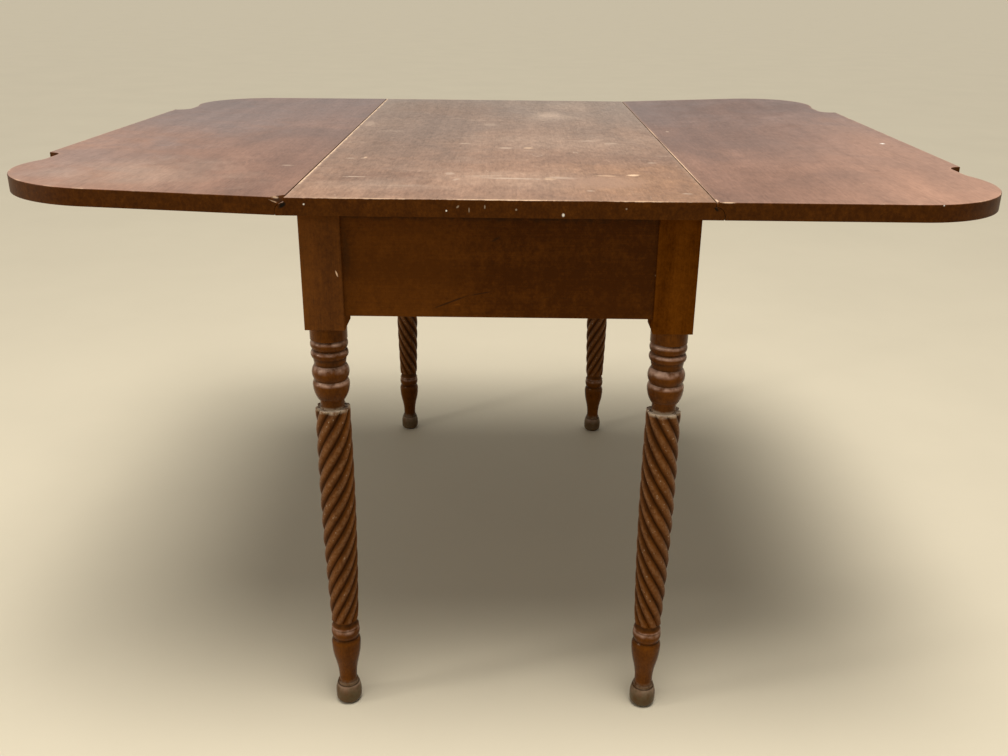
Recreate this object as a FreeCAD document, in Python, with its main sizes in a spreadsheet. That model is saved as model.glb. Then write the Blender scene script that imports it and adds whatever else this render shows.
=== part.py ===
import FreeCAD, Part
import math
import os
import re
import Sketcher

# Drop-leaf table on four rope-twisted legs.
# Millimetres, +Z up, origin on the floor under the middle of the top.
# +X crosses the leaves, +Y runs along the top, and the front end is at -Y.

SIZES = {
    # Top and leaves
    "table_height": 737,
    "top_length": 1030,
    "top_width": 494,
    "board_thickness": 21,
    "leaf_width": 374,
    "leaf_straight_length": 546,
    "front_cove_radius": 18,
    "back_cove_radius": 25,
    "lobe_radius": 130,
    "front_lobe_setback": 8,
    "back_lobe_setback": 18,
    "lobe_fillet_radius": 45,
    # Rule joint between top and leaf
    "shoulder_height": 6,
    "round_radius": 11,
    "seam_gap": 0.8,
    "rule_clearance": 0.5,
    # Legs
    "side_overhang_width": 10.5,
    "end_overhang_width": 18,
    "post_width": 49,
    "post_height": 145,
    "foot_height": 34,
    "foot_diameter": 36.4,
    "foot_round_height": 9,
    "foot_side_height": 7,
    "sole_diameter": 26,
    "foot_dome_diameter": 31,
    "foot_ring_height": 4,
    "foot_ring_diameter": 28.4,
    "ankle_diameter": 25,
    "vase_height": 75,
    "vase_diameter": 40.6,
    "vase_top_diameter": 34,
    "collar_height": 17,
    "collar_diameter": 39.4,
    "collar_groove_diameter": 36,
    "flare_height": 11,
    "flare_diameter": 38,
    "waist_diameter": 32,
    "twist_bottom_diameter": 37.4,
    "twist_belly_diameter": 46.4,
    "twist_top_diameter": 44.4,
    "twist_lead_length": 216,
    "twist_groove_depth": 3.6,
    "neck_height": 12,
    "neck_diameter": 31,
    "cup_height": 27,
    "cup_diameter": 46.8,
    "cup_round_height": 6,
    "cup_foot_diameter": 34,
    "groove_height": 1,
    "groove_diameter": 42,
    "bulb_height": 19.5,
    "bulb_diameter": 47.4,
    "cove_height": 9,
    "cove_diameter": 39.5,
    "lower_bead_height": 11,
    "upper_bead_height": 12.5,
    "bead_diameter": 47.4,
    "throat_height": 17,
    "throat_diameter": 46.8,
    # Aprons, rails and their tenons
    "apron_height": 128,
    "apron_thickness": 22,
    "apron_setback": 6,
    "inner_rail_thickness": 20,
    "fly_rail_thickness": 21,
    "fly_rail_setback": 3,
    "tenon_length": 30,
    "tenon_thickness": 9,
    "tenon_shoulder_height": 14,
    "mortise_clearance": 0.1,
    # Fly brackets on their wooden knuckles
    "fly_rail_length": 360,
    "fly_end_gap": 1.5,
    "fly_side_gap": 0.5,
    "fly_top_gap": 0.4,
    "fly_tip_height": 44,
    "fly_ogee_start_length": 110,
    "fly_tip_flat_length": 20,
    "knuckle_clearance": 0.6,
    "fly_pin_diameter": 8,
    "pin_clearance": 0.05,
    # Drop-leaf hinges
    "hinge_row_length": 360,
    "hinge_width": 38,
    "hinge_knuckle_diameter": 6.4,
    "hinge_pin_diameter": 3.2,
    "hinge_middle_width": 14,
    "hinge_plate_thickness": 2,
    "hinge_top_length": 34,
    "hinge_leaf_length": 58,
    "hinge_clearance": 0.4,
    "hinge_screw_diameter": 3.6,
    "hinge_screw_head_diameter": 6.6,
    "hinge_screw_length": 13,
    "hinge_screw_margin_width": 7,
    "screw_clearance": 0.05,
    # Screws that hold the top and the outer rails
    "top_screw_diameter": 4.5,
    "top_screw_head_diameter": 8,
    "top_screw_head_height": 3,
    "top_screw_length": 50,
    "top_screw_bite_length": 12,
    "top_screw_bore_diameter": 9,
    "end_screw_row_length": 220,
    "side_screw_row_length": 660,
    "rail_screw_length": 30,
    "rail_screw_row_length": 240,
    "rail_screw_edge_distance": 28,
}

# Counts and shares of the sizes that they follow
STRANDS = 8
TWIST_SECTIONS = 49
KNUCKLES = 5
HINGE_ROWS = {"front": -1, "middle": 0, "back": 1}
TWIST_BELLY_SHARE = 0.62
VASE_STRAIGHT_SHARE = 0.08
VASE_TURN_SHARE = 0.48
VASE_BELLY_SHARE = 0.88
LEAF_SCREW_SHARES = ((0.42, 0), (0.86, -1), (0.86, 1))
TOP_SCREW_SHARES = ((0.62, -1), (0.62, 1))

doc = FreeCAD.newDocument("drop_leaf_table")
sheet = doc.addObject("Spreadsheet::Sheet", "Sizes")
for row, (name, value) in enumerate(SIZES.items(), start=1):
    sheet.set(f"A{row}", name.replace("_", " "))
    sheet.set(f"B{row}", str(value))
    sheet.setAlias(f"B{row}", name)
doc.recompute()

pieces = {}


# Sizes and expressions

def linked(text):
    """Expression text in which every size's name points at its cell."""
    return re.sub(r"[a-z]\w*", lambda word: f"Sizes.{word[0]}" if word[0] in SIZES else word[0], text)


def number(text):
    """What an expression comes to with the present sizes."""
    return float(sheet.evalExpression(linked(text)))


def bow(depth, height):
    """Radius of an arc that starts square to its depth and ends that far in and that far on."""
    return f"(({height})^2 + ({depth})^2) / (2 * ({depth}))"


# Places that several pieces share
UNDERSIDE = "(table_height - board_thickness)"
SEAM = "(top_width / 2)"
PIN_DROP = "(board_thickness - shoulder_height - round_radius)"
PIN_HEIGHT = f"({UNDERSIDE} + {PIN_DROP})"
COVE_REACH = "(round_radius + rule_clearance)"
LEAF_EDGE = f"({SEAM} + leaf_width)"
LEG_X = "(top_width / 2 - side_overhang_width - post_width / 2)"
LEG_Y = "(top_length / 2 - end_overhang_width - post_width / 2)"
POST_INSIDE_X = f"({LEG_X} - post_width / 2)"
POST_INSIDE_Y = f"({LEG_Y} - post_width / 2)"
APRON_BOTTOM = f"({UNDERSIDE} - apron_height)"
APRON_OUTSIDE = f"({LEG_Y} + post_width / 2 - apron_setback)"
APRON_INSIDE = f"({APRON_OUTSIDE} - apron_thickness)"
APRON_MIDDLE = f"({APRON_OUTSIDE} - apron_thickness / 2)"
FLY_OUTSIDE = f"({LEG_X} + post_width / 2 - fly_rail_setback)"
FLY_INSIDE = f"({FLY_OUTSIDE} - fly_rail_thickness)"
FLY_AXIS_X = f"({FLY_OUTSIDE} - fly_rail_thickness / 2)"
FLY_AXIS_Y = "(fly_rail_length / 2)"
RAIL_INSIDE = f"({FLY_INSIDE} - inner_rail_thickness)"
RAIL_MIDDLE = f"({FLY_INSIDE} - inner_rail_thickness / 2)"
KNUCKLE_REACH = "(fly_rail_thickness / 2 + knuckle_clearance)"


# Building blocks

def feature(kind, name, **texts):
    """A document object whose properties follow the given expressions."""
    item = doc.addObject(kind, name)
    for prop, text in texts.items():
        item.setExpression(prop, linked(text))
    return item


def place(item, x="0", y="0", z="0"):
    """Ties an object's place to expressions."""
    for axis, text in zip("xyz", (x, y, z)):
        item.setExpression(f"Placement.Base.{axis}", linked(text))
    return item


def block(name, x, y, z):
    """Box between a low and a high expression along each axis."""
    lengths = [f"({high}) - ({low})" for low, high in (x, y, z)]
    item = feature("Part::Box", name, Length=lengths[0], Width=lengths[1], Height=lengths[2])
    return place(item, x[0], y[0], z[0])


AXIS_TURNS = {
    "x": FreeCAD.Rotation(FreeCAD.Vector(0, 1, 0), 90),
    "y": FreeCAD.Rotation(FreeCAD.Vector(1, 0, 0), -90),
    "z": FreeCAD.Rotation(),
}


def rod(name, axis, diameter, span, x="0", y="0", z="0"):
    """Round bar along an axis. The place along that axis is the low end of the span."""
    low, high = span
    item = feature("Part::Cylinder", name, Radius=f"({diameter}) / 2", Height=f"({high}) - ({low})")
    item.Placement.Rotation = AXIS_TURNS[axis]
    spot = {"x": x, "y": y, "z": z}
    spot[axis] = low
    return place(item, **spot)


def cone(name, low_diameter, high_diameter, span, x, y):
    """Upright cone between two heights."""
    low, high = span
    item = feature("Part::Cone", name, Radius1=f"({low_diameter}) / 2", Radius2=f"({high_diameter}) / 2",
                   Height=f"({high}) - ({low})")
    return place(item, x, y, low)


def joined(name, items):
    """All the items as one object: fused where they meet, separate solids where they don't."""
    if len(items) == 1:
        return items[0]
    item = doc.addObject("Part::MultiFuse", name)
    item.Shapes = items
    return item


def carved(name, base, tools):
    """The base with all the tools cut away."""
    item = doc.addObject("Part::Cut", name)
    item.Base = base
    item.Tool = joined(f"{name}_cuts", tools)
    return item


def mirrored(name, source, normal):
    """Mirror image across the middle plane that a normal names."""
    item = doc.addObject("Part::Mirroring", name)
    item.Source = source
    item.Normal = FreeCAD.Vector(*normal)
    return item


ACROSS = (1, 0, 0)
ALONG = (0, 1, 0)


def keep(name, item):
    """Names a finished piece, which is written to a file of its own."""
    item.Label = name
    pieces[name] = item
    return item


def arc_between(start, end, radius, bulge):
    """Arc of at most a half turn that swells to the right of the way on (bulge +1) or to the left (-1)."""
    way = end - start
    half = way.Length / 2
    side = FreeCAD.Vector(way.y, -way.x, 0).normalize()
    centre = (start + end) / 2 - side * bulge * math.sqrt(max(radius**2 - half**2, 0))
    first, last = (start, end) if bulge > 0 else (end, start)
    angles = [math.atan2(point.y - centre.y, point.x - centre.x) for point in (first, last)]
    circle = Part.Circle(centre, FreeCAD.Vector(0, 0, 1), radius)
    return Part.ArcOfCircle(circle, *angles)


def outline(body, name, role, corners):
    """Closed sketch on an origin plane of the body.

    Each corner is (x, y), or (x, y, radius, bulge) where an arc leads on to the next corner.
    """
    sketch = body.newObject("Sketcher::SketchObject", name)
    plane = next(item for item in body.Origin.OriginFeatures if item.Role == role)
    sketch.AttachmentSupport = (plane, [""])
    sketch.MapMode = "FlatFace"
    points = [FreeCAD.Vector(number(corner[0]), number(corner[1]), 0) for corner in corners]
    starts = []
    for index, corner in enumerate(corners):
        start, end = points[index], points[(index + 1) % len(points)]
        if len(corner) == 2:
            sketch.addGeometry(Part.LineSegment(start, end), False)
            starts.append(1)
        else:
            radius, bulge = corner[2:]
            sketch.addGeometry(arc_between(start, end, number(radius), bulge), False)
            starts.append(1 if bulge > 0 else 2)
    for index, corner in enumerate(corners):
        after = (index + 1) % len(corners)
        ends = (index, 3 - starts[index], after, starts[after])
        sketch.addConstraint(Sketcher.Constraint("Coincident", *ends))
        for kind, axis, text in (("DistanceX", -2, corner[0]), ("DistanceY", -1, corner[1])):
            if text == "0":
                sketch.addConstraint(Sketcher.Constraint("PointOnObject", index, starts[index], axis))
            else:
                rule = Sketcher.Constraint(kind, -1, 1, index, starts[index], number(text))
                sketch.setExpression(f"Constraints[{sketch.addConstraint(rule)}]", linked(text))
        if len(corner) == 4:
            rule = Sketcher.Constraint("Radius", index, number(corner[2]))
            sketch.setExpression(f"Constraints[{sketch.addConstraint(rule)}]", linked(corner[2]))
    return sketch


def padded(name, role, corners, thickness):
    """Body of one outline, padded equally to both sides of its plane."""
    body = doc.addObject("PartDesign::Body", name)
    pad = body.newObject("PartDesign::Pad", f"{name}_pad")
    pad.Profile = outline(body, f"{name}_outline", role, corners)
    pad.Midplane = True
    pad.setExpression("Length", linked(thickness))
    return body


def turned(name, corners):
    """Body turned about its upright axis from half an outline."""
    body = doc.addObject("PartDesign::Body", name)
    turning = body.newObject("PartDesign::Revolution", f"{name}_turning")
    sketch = outline(body, f"{name}_outline", "XZ_Plane", corners)
    turning.Profile = sketch
    turning.ReferenceAxis = (sketch, ["V_Axis"])
    return body


# Hinges and their screws

def hinge_places():
    """Name and place along the seam of each hinge of a leaf."""
    return {row: f"({way} * hinge_row_length)" for row, way in HINGE_ROWS.items()}


def screw_places(shares, way, length, middle):
    """Screw centres in a hinge plate: shares of its length out from the pin, and rows to either side."""
    spots = []
    for share, side in shares:
        x = f"({SEAM} + {way} * {share} * ({length}))"
        y = f"({middle} + {side} * (hinge_width / 2 - hinge_screw_margin_width))"
        spots.append((x, y))
    return spots


def hinge_screw(name, x, y, room="0"):
    """Countersunk screw driven up through a plate into the board, with room all round when it is a hole."""
    plate_top = f"({UNDERSIDE} + hinge_plate_thickness)"
    head = cone(f"{name}_head", f"hinge_screw_head_diameter + 2 * {room}",
                f"hinge_screw_diameter + 2 * {room}", (UNDERSIDE, plate_top), x, y)
    shank = rod(f"{name}_shank", "z", f"hinge_screw_diameter + 2 * {room}",
                (UNDERSIDE, f"{UNDERSIDE} + hinge_screw_length + {room}"), x, y)
    return joined(name, [head, shank])


def hinge_plate(name, way, length, knuckle_spans, middle, screws):
    """Plate on one side of the seam (way +1 is the leaf's side) with its knuckles round the pin."""
    near = f"({PIN_DROP} + hinge_clearance)"
    low, high = sorted([f"{SEAM} + {way} * {near}", f"{SEAM} + {way} * ({length})"], key=number)
    heights = (UNDERSIDE, f"{UNDERSIDE} + hinge_plate_thickness")
    across = (f"{middle} - hinge_width / 2", f"{middle} + hinge_width / 2")
    solids = [block(f"{name}_flap", (low, high), across, heights)]
    bores = [hinge_screw(f"{name}_hole", x, y, "screw_clearance") for x, y in screws]
    for index, span in enumerate(knuckle_spans):
        low, high = sorted([SEAM, f"{SEAM} + {way} * {near}"], key=number)
        solids.append(block(f"{name}_strap_{index}", (low, high), span, heights))
        solids.append(rod(f"{name}_knuckle_{index}", "y", "hinge_knuckle_diameter", span, SEAM, z=PIN_HEIGHT))
    bore_diameter = "hinge_pin_diameter + 2 * pin_clearance"
    bores.append(rod(f"{name}_bore", "y", bore_diameter, across, SEAM, z=PIN_HEIGHT))
    return carved(name, joined(f"{name}_blank", solids), bores)


def hinge_room(middle):
    """Span along the seam that a hinge needs, with its clearance."""
    half = "(hinge_width / 2 + hinge_clearance)"
    return f"{middle} - {half}", f"{middle} + {half}"


def hinge_cuts(name, middle):
    """Room in the top for the barrel and for the leaf's plate."""
    across = hinge_room(middle)
    reach = f"({PIN_DROP} + 2 * hinge_clearance)"
    barrel = block(f"{name}_barrel_cut", (f"{SEAM} - {reach}", f"{SEAM} + {reach}"), across,
                   (UNDERSIDE, f"{PIN_HEIGHT} + hinge_knuckle_diameter / 2 + hinge_clearance"))
    inner = block(f"{name}_inner_cut", (f"{SEAM} - hinge_top_length", SEAM), across,
                  (UNDERSIDE, f"{UNDERSIDE} + hinge_plate_thickness"))
    outer = block(f"{name}_outer_cut", (SEAM, f"{SEAM} + {COVE_REACH}"), across,
                  (UNDERSIDE, f"{UNDERSIDE} + hinge_plate_thickness + hinge_clearance"))
    return [barrel, inner, outer]


def make_hinges():
    """Hinges of the right leaf and their mirror images, with the screws in each board."""
    screws = {"top": [], "leaf": []}
    for row, middle in hinge_places().items():
        edges = (f"{middle} - hinge_width / 2", f"{middle} + hinge_width / 2")
        inner = (f"{middle} - hinge_middle_width / 2", f"{middle} + hinge_middle_width / 2")
        gap = "hinge_clearance"
        outer_spans = [(edges[0], f"{inner[0]} - {gap}"), (f"{inner[1]} + {gap}", edges[1])]
        top_spots = screw_places(TOP_SCREW_SHARES, -1, "hinge_top_length", middle)
        leaf_spots = screw_places(LEAF_SCREW_SHARES, 1, "hinge_leaf_length", middle)
        made = {
            "hinge_top_plate": hinge_plate(f"{row}_top_plate", -1, "hinge_top_length", outer_spans,
                                           middle, top_spots),
            "hinge_leaf_plate": hinge_plate(f"{row}_leaf_plate", 1, "hinge_leaf_length", [inner],
                                            middle, leaf_spots),
            "hinge_pin": rod(f"{row}_hinge_pin", "y", "hinge_pin_diameter", edges, SEAM, z=PIN_HEIGHT),
        }
        for kind, item in made.items():
            keep(f"right_{row}_{kind}", item)
            keep(f"left_{row}_{kind}", mirrored(f"left_{row}_{kind}", item, ACROSS))
        for board, spots in (("top", top_spots), ("leaf", leaf_spots)):
            screws[board] += [hinge_screw(f"{row}_{board}_screw", x, y) for x, y in spots]
    top_set = joined("top_hinge_screw_set", screws["top"])
    keep("hinge_top_screws", joined("both_top_sets", [top_set, mirrored("left_top_set", top_set, ACROSS)]))
    leaf_set = keep("right_leaf_screws", joined("leaf_hinge_screw_set", screws["leaf"]))
    keep("left_leaf_screws", mirrored("left_leaf_screws", leaf_set, ACROSS))


# Top and leaves

def top_screw_places():
    """Centres of the screws that come up through the aprons and the inner rails."""
    ends = [(f"{x} * end_screw_row_length / 2", f"{y} * {APRON_MIDDLE}") for x in (-1, 1) for y in (-1, 1)]
    sides = [(f"{x} * {RAIL_MIDDLE}", f"{y} * side_screw_row_length / 2")
             for x in (-1, 1) for y in (-1, 0, 1)]
    return ends, sides


def top_screw_hole(name, x, y):
    """Shank hole up into the top, and the wider bore below it in the rail."""
    top = f"({UNDERSIDE} + top_screw_bite_length)"
    seat = f"({top} - top_screw_length + top_screw_head_height)"
    shank = rod(f"{name}_shank", "z", "top_screw_diameter + 2 * screw_clearance",
                (seat, f"{top} + screw_clearance"), x, y)
    bore = rod(f"{name}_bore", "z", "top_screw_bore_diameter", (APRON_BOTTOM, seat), x, y)
    return [shank, bore]


def make_top_screws():
    """Round-headed screws, head up against the end of the bore."""
    items = []
    top = f"({UNDERSIDE} + top_screw_bite_length)"
    low = f"({top} - top_screw_length)"
    for x, y in sum(top_screw_places(), []):
        head = rod("top_screw_head", "z", "top_screw_head_diameter",
                   (low, f"{low} + top_screw_head_height"), x, y)
        shank = rod("top_screw_shank", "z", "top_screw_diameter", (low, top), x, y)
        items += [head, shank]
    keep("top_screws", joined("top_screws", items))


def make_top():
    """Fixed board with a shoulder and a round along both seams."""
    foot = f"({SEAM} + sqrt(round_radius^2 - {PIN_DROP}^2))"
    shoulder = "(table_height - shoulder_height)"
    corners = [
        (f"-{SEAM}", "table_height"),
        (f"-{SEAM}", shoulder, "round_radius", 1),
        (f"-{foot}", UNDERSIDE),
        (foot, UNDERSIDE, "round_radius", 1),
        (SEAM, shoulder),
        (SEAM, "table_height"),
    ]
    board = padded("top_board", "XZ_Plane", corners, "top_length")
    cuts = []
    for row, middle in hinge_places().items():
        cuts += hinge_cuts(row, middle)
        spots = screw_places(TOP_SCREW_SHARES, -1, "hinge_top_length", middle)
        cuts += [hinge_screw(f"{row}_top_hole", x, y, "screw_clearance") for x, y in spots]
    right_cuts = joined("right_top_cuts", cuts)
    bores = [top_screw_hole("top_hole", x, y)[0] for x, y in sum(top_screw_places(), [])]
    both_cuts = [right_cuts, mirrored("left_top_cuts", right_cuts, ACROSS)]
    keep("fixed_top", carved("fixed_top", board, both_cuts + bores))


def leaf_corner(end_name):
    """Places round one corner of the right leaf, from its edge to its seam, as at the back end."""
    end = "(top_length / 2)"
    straight = "(leaf_straight_length / 2)"
    waist_x = f"({LEAF_EDGE} - {end_name}_cove_radius)"
    waist_y = f"({straight} + {end_name}_cove_radius)"
    lobe_x = f"({LEAF_EDGE} - {end_name}_lobe_setback - lobe_radius)"
    lobe_y = f"({end} - lobe_radius)"
    # The fillet's centre stands outside the leaf, beside the waist and off the lobe's round.
    fillet_x = f"({waist_x} + lobe_fillet_radius)"
    reach = "(lobe_radius + lobe_fillet_radius)"
    fillet_y = f"({lobe_y} - sqrt({reach}^2 - ({fillet_x} - {lobe_x})^2))"
    meet_x = f"({lobe_x} + ({fillet_x} - {lobe_x}) * lobe_radius / {reach})"
    meet_y = f"({lobe_y} + ({fillet_y} - {lobe_y}) * lobe_radius / {reach})"
    return {
        "edge": (LEAF_EDGE, straight),
        "waist": (waist_x, waist_y),
        "fillet": (waist_x, fillet_y),
        "meet": (meet_x, meet_y),
        "lobe": (lobe_x, end),
        "seam": (f"({SEAM} + seam_gap)", end),
    }


def make_leaves():
    """Right leaf and its mirror image: lobed corners, and a cove along the seam."""
    back = leaf_corner("back")
    front = {name: (x, f"-{y}") for name, (x, y) in leaf_corner("front").items()}
    outline = [
        front["seam"],
        (*front["lobe"], "lobe_radius", 1),
        (*front["meet"], "lobe_fillet_radius", -1),
        front["fillet"],
        (*front["waist"], "front_cove_radius", -1),
        front["edge"],
        (*back["edge"], "back_cove_radius", -1),
        back["waist"],
        (*back["fillet"], "lobe_fillet_radius", -1),
        (*back["meet"], "lobe_radius", 1),
        back["lobe"],
        back["seam"],
    ]
    board = place(padded("leaf_board", "XY_Plane", outline, "board_thickness"),
                  z="table_height - board_thickness / 2")
    whole = ("-top_length / 2", "top_length / 2")
    cuts = [
        rod("leaf_cove", "y", f"2 * {COVE_REACH}", whole, SEAM, z=PIN_HEIGHT),
        block("leaf_cove_foot", (SEAM, f"{SEAM} + {COVE_REACH}"), whole, (UNDERSIDE, PIN_HEIGHT)),
    ]
    for row, middle in hinge_places().items():
        cuts.append(block(f"{row}_leaf_gain", (SEAM, f"{SEAM} + hinge_leaf_length"), hinge_room(middle),
                          (UNDERSIDE, f"{UNDERSIDE} + hinge_plate_thickness")))
        spots = screw_places(LEAF_SCREW_SHARES, 1, "hinge_leaf_length", middle)
        cuts += [hinge_screw(f"{row}_leaf_hole", x, y, "screw_clearance") for x, y in spots]
    right = keep("right_leaf", carved("right_leaf", board, cuts))
    keep("left_leaf", mirrored("left_leaf", right, ACROSS))


# Legs

TWIST_BOTTOM = "(foot_height + vase_height + collar_height + groove_height + flare_height)"
TURNING_TOP = f"({UNDERSIDE} - post_height)"
CAPITAL_HEIGHT = ("(neck_height + cup_height + 3 * groove_height + bulb_height + cove_height"
                  " + lower_bead_height + upper_bead_height + throat_height)")
TWIST_TOP = f"({TURNING_TOP} - {CAPITAL_HEIGHT})"


def lower_turning():
    """Bun foot with a ring, vase, collar and flare, up to the twist."""
    half = {name: f"({name} / 2)" for name in SIZES if name.endswith("_diameter")}
    ankle, vase, vase_top = half["ankle_diameter"], half["vase_diameter"], half["vase_top_diameter"]
    collar, waist = half["collar_diameter"], half["waist_diameter"]
    collar_groove, flare = half["collar_groove_diameter"], half["flare_diameter"]
    sole, foot = half["sole_diameter"], half["foot_diameter"]
    dome, ring = half["foot_dome_diameter"], half["foot_ring_diameter"]
    side_top = "(foot_round_height + foot_side_height)"
    dome_top = "(foot_height - foot_ring_height)"
    vase_foot = "(foot_height + vase_height * {})".format
    turn_radius = f"({ankle} + ({vase} - {ankle}) / 2)"
    rise = f"(({VASE_TURN_SHARE} - {VASE_STRAIGHT_SHARE}) * vase_height)"
    swell = f"(({VASE_BELLY_SHARE} - {VASE_TURN_SHARE}) * vase_height)"
    crown = f"((1 - {VASE_BELLY_SHARE}) * vase_height)"
    collar_foot = "(foot_height + vase_height)"
    collar_top = f"({collar_foot} + collar_height)"
    flare_foot = f"({collar_top} + groove_height)"
    collar_bulge = f"({collar} - ({vase_top} + {collar_groove}) / 2)"
    return turned("lower_turning", [
        ("0", "0"),
        (sole, "0", bow(f"{foot} - {sole}", "foot_round_height"), 1),
        (foot, "foot_round_height"),
        (foot, side_top, bow(f"{foot} - {dome}", f"{dome_top} - {side_top}"), 1),
        (dome, dome_top),
        (ring, dome_top),
        (ring, "foot_height"),
        (ankle, "foot_height"),
        (ankle, vase_foot(VASE_STRAIGHT_SHARE), bow(f"({vase} - {ankle}) / 2", rise), -1),
        (turn_radius, vase_foot(VASE_TURN_SHARE), bow(f"({vase} - {ankle}) / 2", swell), 1),
        (vase, vase_foot(VASE_BELLY_SHARE), bow(f"{vase} - {vase_top}", crown), 1),
        (vase_top, collar_foot, bow(collar_bulge, "collar_height / 2"), 1),
        (collar_groove, collar_top),
        (collar_groove, flare_foot),
        (flare, flare_foot, bow(f"{flare} - {waist}", "flare_height"), -1),
        (waist, TWIST_BOTTOM),
        ("0", TWIST_BOTTOM),
    ])


def upper_turning():
    """Neck, cup, bulb, two beads and throat, from the twist up to the post."""
    half = {name: f"({name} / 2)" for name in SIZES if name.endswith("_diameter")}
    neck, cup, groove = half["neck_diameter"], half["cup_diameter"], half["groove_diameter"]
    bulb, cove, bead = half["bulb_diameter"], half["cove_diameter"], half["bead_diameter"]
    throat, cup_foot = half["throat_diameter"], half["cup_foot_diameter"]
    bowl = "(cup_height - cup_round_height)"
    corners = [("0", TWIST_TOP)]
    level = TWIST_TOP
    steps = [
        (neck, "neck_height"),
        (neck, "0"),
        (cup_foot, bowl, bow(f"{cup} - {cup_foot}", bowl), 1),
        (cup, "cup_round_height", bow(f"{cup} - {groove}", "cup_round_height"), 1),
        (groove, "groove_height"),
        (groove, "bulb_height", bow(f"{bulb} - ({groove} + {cove}) / 2", "bulb_height / 2"), 1),
        (cove, "cove_height"),
        (groove, "lower_bead_height", bow(f"{bead} - {groove}", "lower_bead_height / 2"), 1),
        (groove, "groove_height"),
        (groove, "upper_bead_height", bow(f"{bead} - {groove}", "upper_bead_height / 2"), 1),
        (groove, "groove_height"),
        (throat, "throat_height"),
    ]
    for radius, height, *arc in steps:
        corners.append((radius, level, *arc))
        level = f"({level} + {height})" if height != "0" else level
    corners += [(throat, TURNING_TOP), ("0", TURNING_TOP)]
    return turned("upper_turning", corners)


def strand_ring(radius, depth, height, turn):
    """Closed ring of convex arcs, one for each strand, with a groove between each two."""
    step = 2 * math.pi / STRANDS

    def spot(share, reach):
        angle = turn + share * step
        return FreeCAD.Vector(reach * math.cos(angle), reach * math.sin(angle), height)

    inner = radius - depth
    arcs = [Part.Arc(spot(k, inner), spot(k + 1 / 2, radius), spot(k + 1, inner)) for k in range(STRANDS)]
    return Part.Wire([arc.toShape() for arc in arcs])


def twist():
    """Rope-twisted shaft: a ring of strands that turns as it rises and swells towards its belly."""
    low, high = number(TWIST_BOTTOM), number(TWIST_TOP)
    bottom, belly, top = (number(f"twist_{part}_diameter / 2") for part in ("bottom", "belly", "top"))
    rings = []
    for index in range(TWIST_SECTIONS):
        share = index / (TWIST_SECTIONS - 1)
        weights = (
            (share - TWIST_BELLY_SHARE) * (share - 1) / TWIST_BELLY_SHARE,
            share * (share - 1) / (TWIST_BELLY_SHARE * (TWIST_BELLY_SHARE - 1)),
            share * (share - TWIST_BELLY_SHARE) / (1 - TWIST_BELLY_SHARE),
        )
        radius = sum(weight * size for weight, size in zip(weights, (bottom, belly, top)))
        height = low + share * (high - low)
        turn = -2 * math.pi * (height - low) / number("twist_lead_length")
        rings.append(strand_ring(radius, number("twist_groove_depth"), height, turn))
    item = doc.addObject("Part::Feature", "twist")
    item.Shape = Part.makeLoft(rings, True, False)
    return item


def make_legs():
    """Front right leg, and its mirror images for the other corners."""
    parts = [place(item, LEG_X, f"-{LEG_Y}") for item in (lower_turning(), twist(), upper_turning())]
    half = "post_width / 2"
    post = block("post", (f"{LEG_X} - {half}", f"{LEG_X} + {half}"),
                 (f"-{LEG_Y} - {half}", f"-{LEG_Y} + {half}"), (TURNING_TOP, UNDERSIDE))
    room = "mortise_clearance"
    heights = (f"{APRON_BOTTOM} + tenon_shoulder_height - {room}",
               f"{UNDERSIDE} - tenon_shoulder_height + {room}")
    end_mortise = block("end_mortise", (POST_INSIDE_X, f"{POST_INSIDE_X} + tenon_length + {room}"),
                        (f"-{APRON_MIDDLE} - tenon_thickness / 2 - {room}",
                         f"-{APRON_MIDDLE} + tenon_thickness / 2 + {room}"), heights)
    side_mortise = block("side_mortise", (f"{RAIL_MIDDLE} - tenon_thickness / 2 - {room}",
                                          f"{RAIL_MIDDLE} + tenon_thickness / 2 + {room}"),
                         (f"-{SIDE_TENON_END} - {room}", f"-{POST_INSIDE_Y}"), heights)
    leg = keep("front_right_leg", carved("front_right_leg", joined("leg_blank", [post] + parts),
                                         [end_mortise, side_mortise]))
    keep("front_left_leg", mirrored("front_left_leg", leg, ACROSS))
    back = keep("back_right_leg", mirrored("back_right_leg", leg, ALONG))
    keep("back_left_leg", mirrored("back_left_leg", back, ACROSS))


# Aprons and rails

# The side tenons stop short of the end tenons inside each post.
SIDE_TENON_END = f"({APRON_MIDDLE} - tenon_thickness / 2 - 3 * mortise_clearance)"


def make_aprons():
    """Plain end aprons, tenoned into the posts."""
    heights = (APRON_BOTTOM, UNDERSIDE)
    tenon_heights = (f"{APRON_BOTTOM} + tenon_shoulder_height", f"{UNDERSIDE} - tenon_shoulder_height")
    face = block("apron_face", (f"-{POST_INSIDE_X}", POST_INSIDE_X),
                 (f"-{APRON_OUTSIDE}", f"-{APRON_INSIDE}"), heights)
    tenon_tip = f"({POST_INSIDE_X} + tenon_length)"
    tenon_faces = (f"-{APRON_MIDDLE} - tenon_thickness / 2", f"-{APRON_MIDDLE} + tenon_thickness / 2")
    tenons = block("apron_tenons", (f"-{tenon_tip}", tenon_tip), tenon_faces, tenon_heights)
    ends = top_screw_places()[0]
    holes = sum((top_screw_hole("apron_hole", x, y) for x, y in ends if y.startswith("-1")), [])
    front = keep("front_apron", carved("front_apron", joined("apron_blank", [face, tenons]), holes))
    keep("back_apron", mirrored("back_apron", front, ALONG))


def rail_screw_places():
    """Rows and heights of the screws that hold an outer rail to its inner rail."""
    rows = [f"({way} * rail_screw_row_length / 2)" for way in (-1, 1)]
    heights = [f"({UNDERSIDE} - rail_screw_edge_distance)", f"({APRON_BOTTOM} + rail_screw_edge_distance)"]
    return [(y, z) for y in rows for z in heights]


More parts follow.
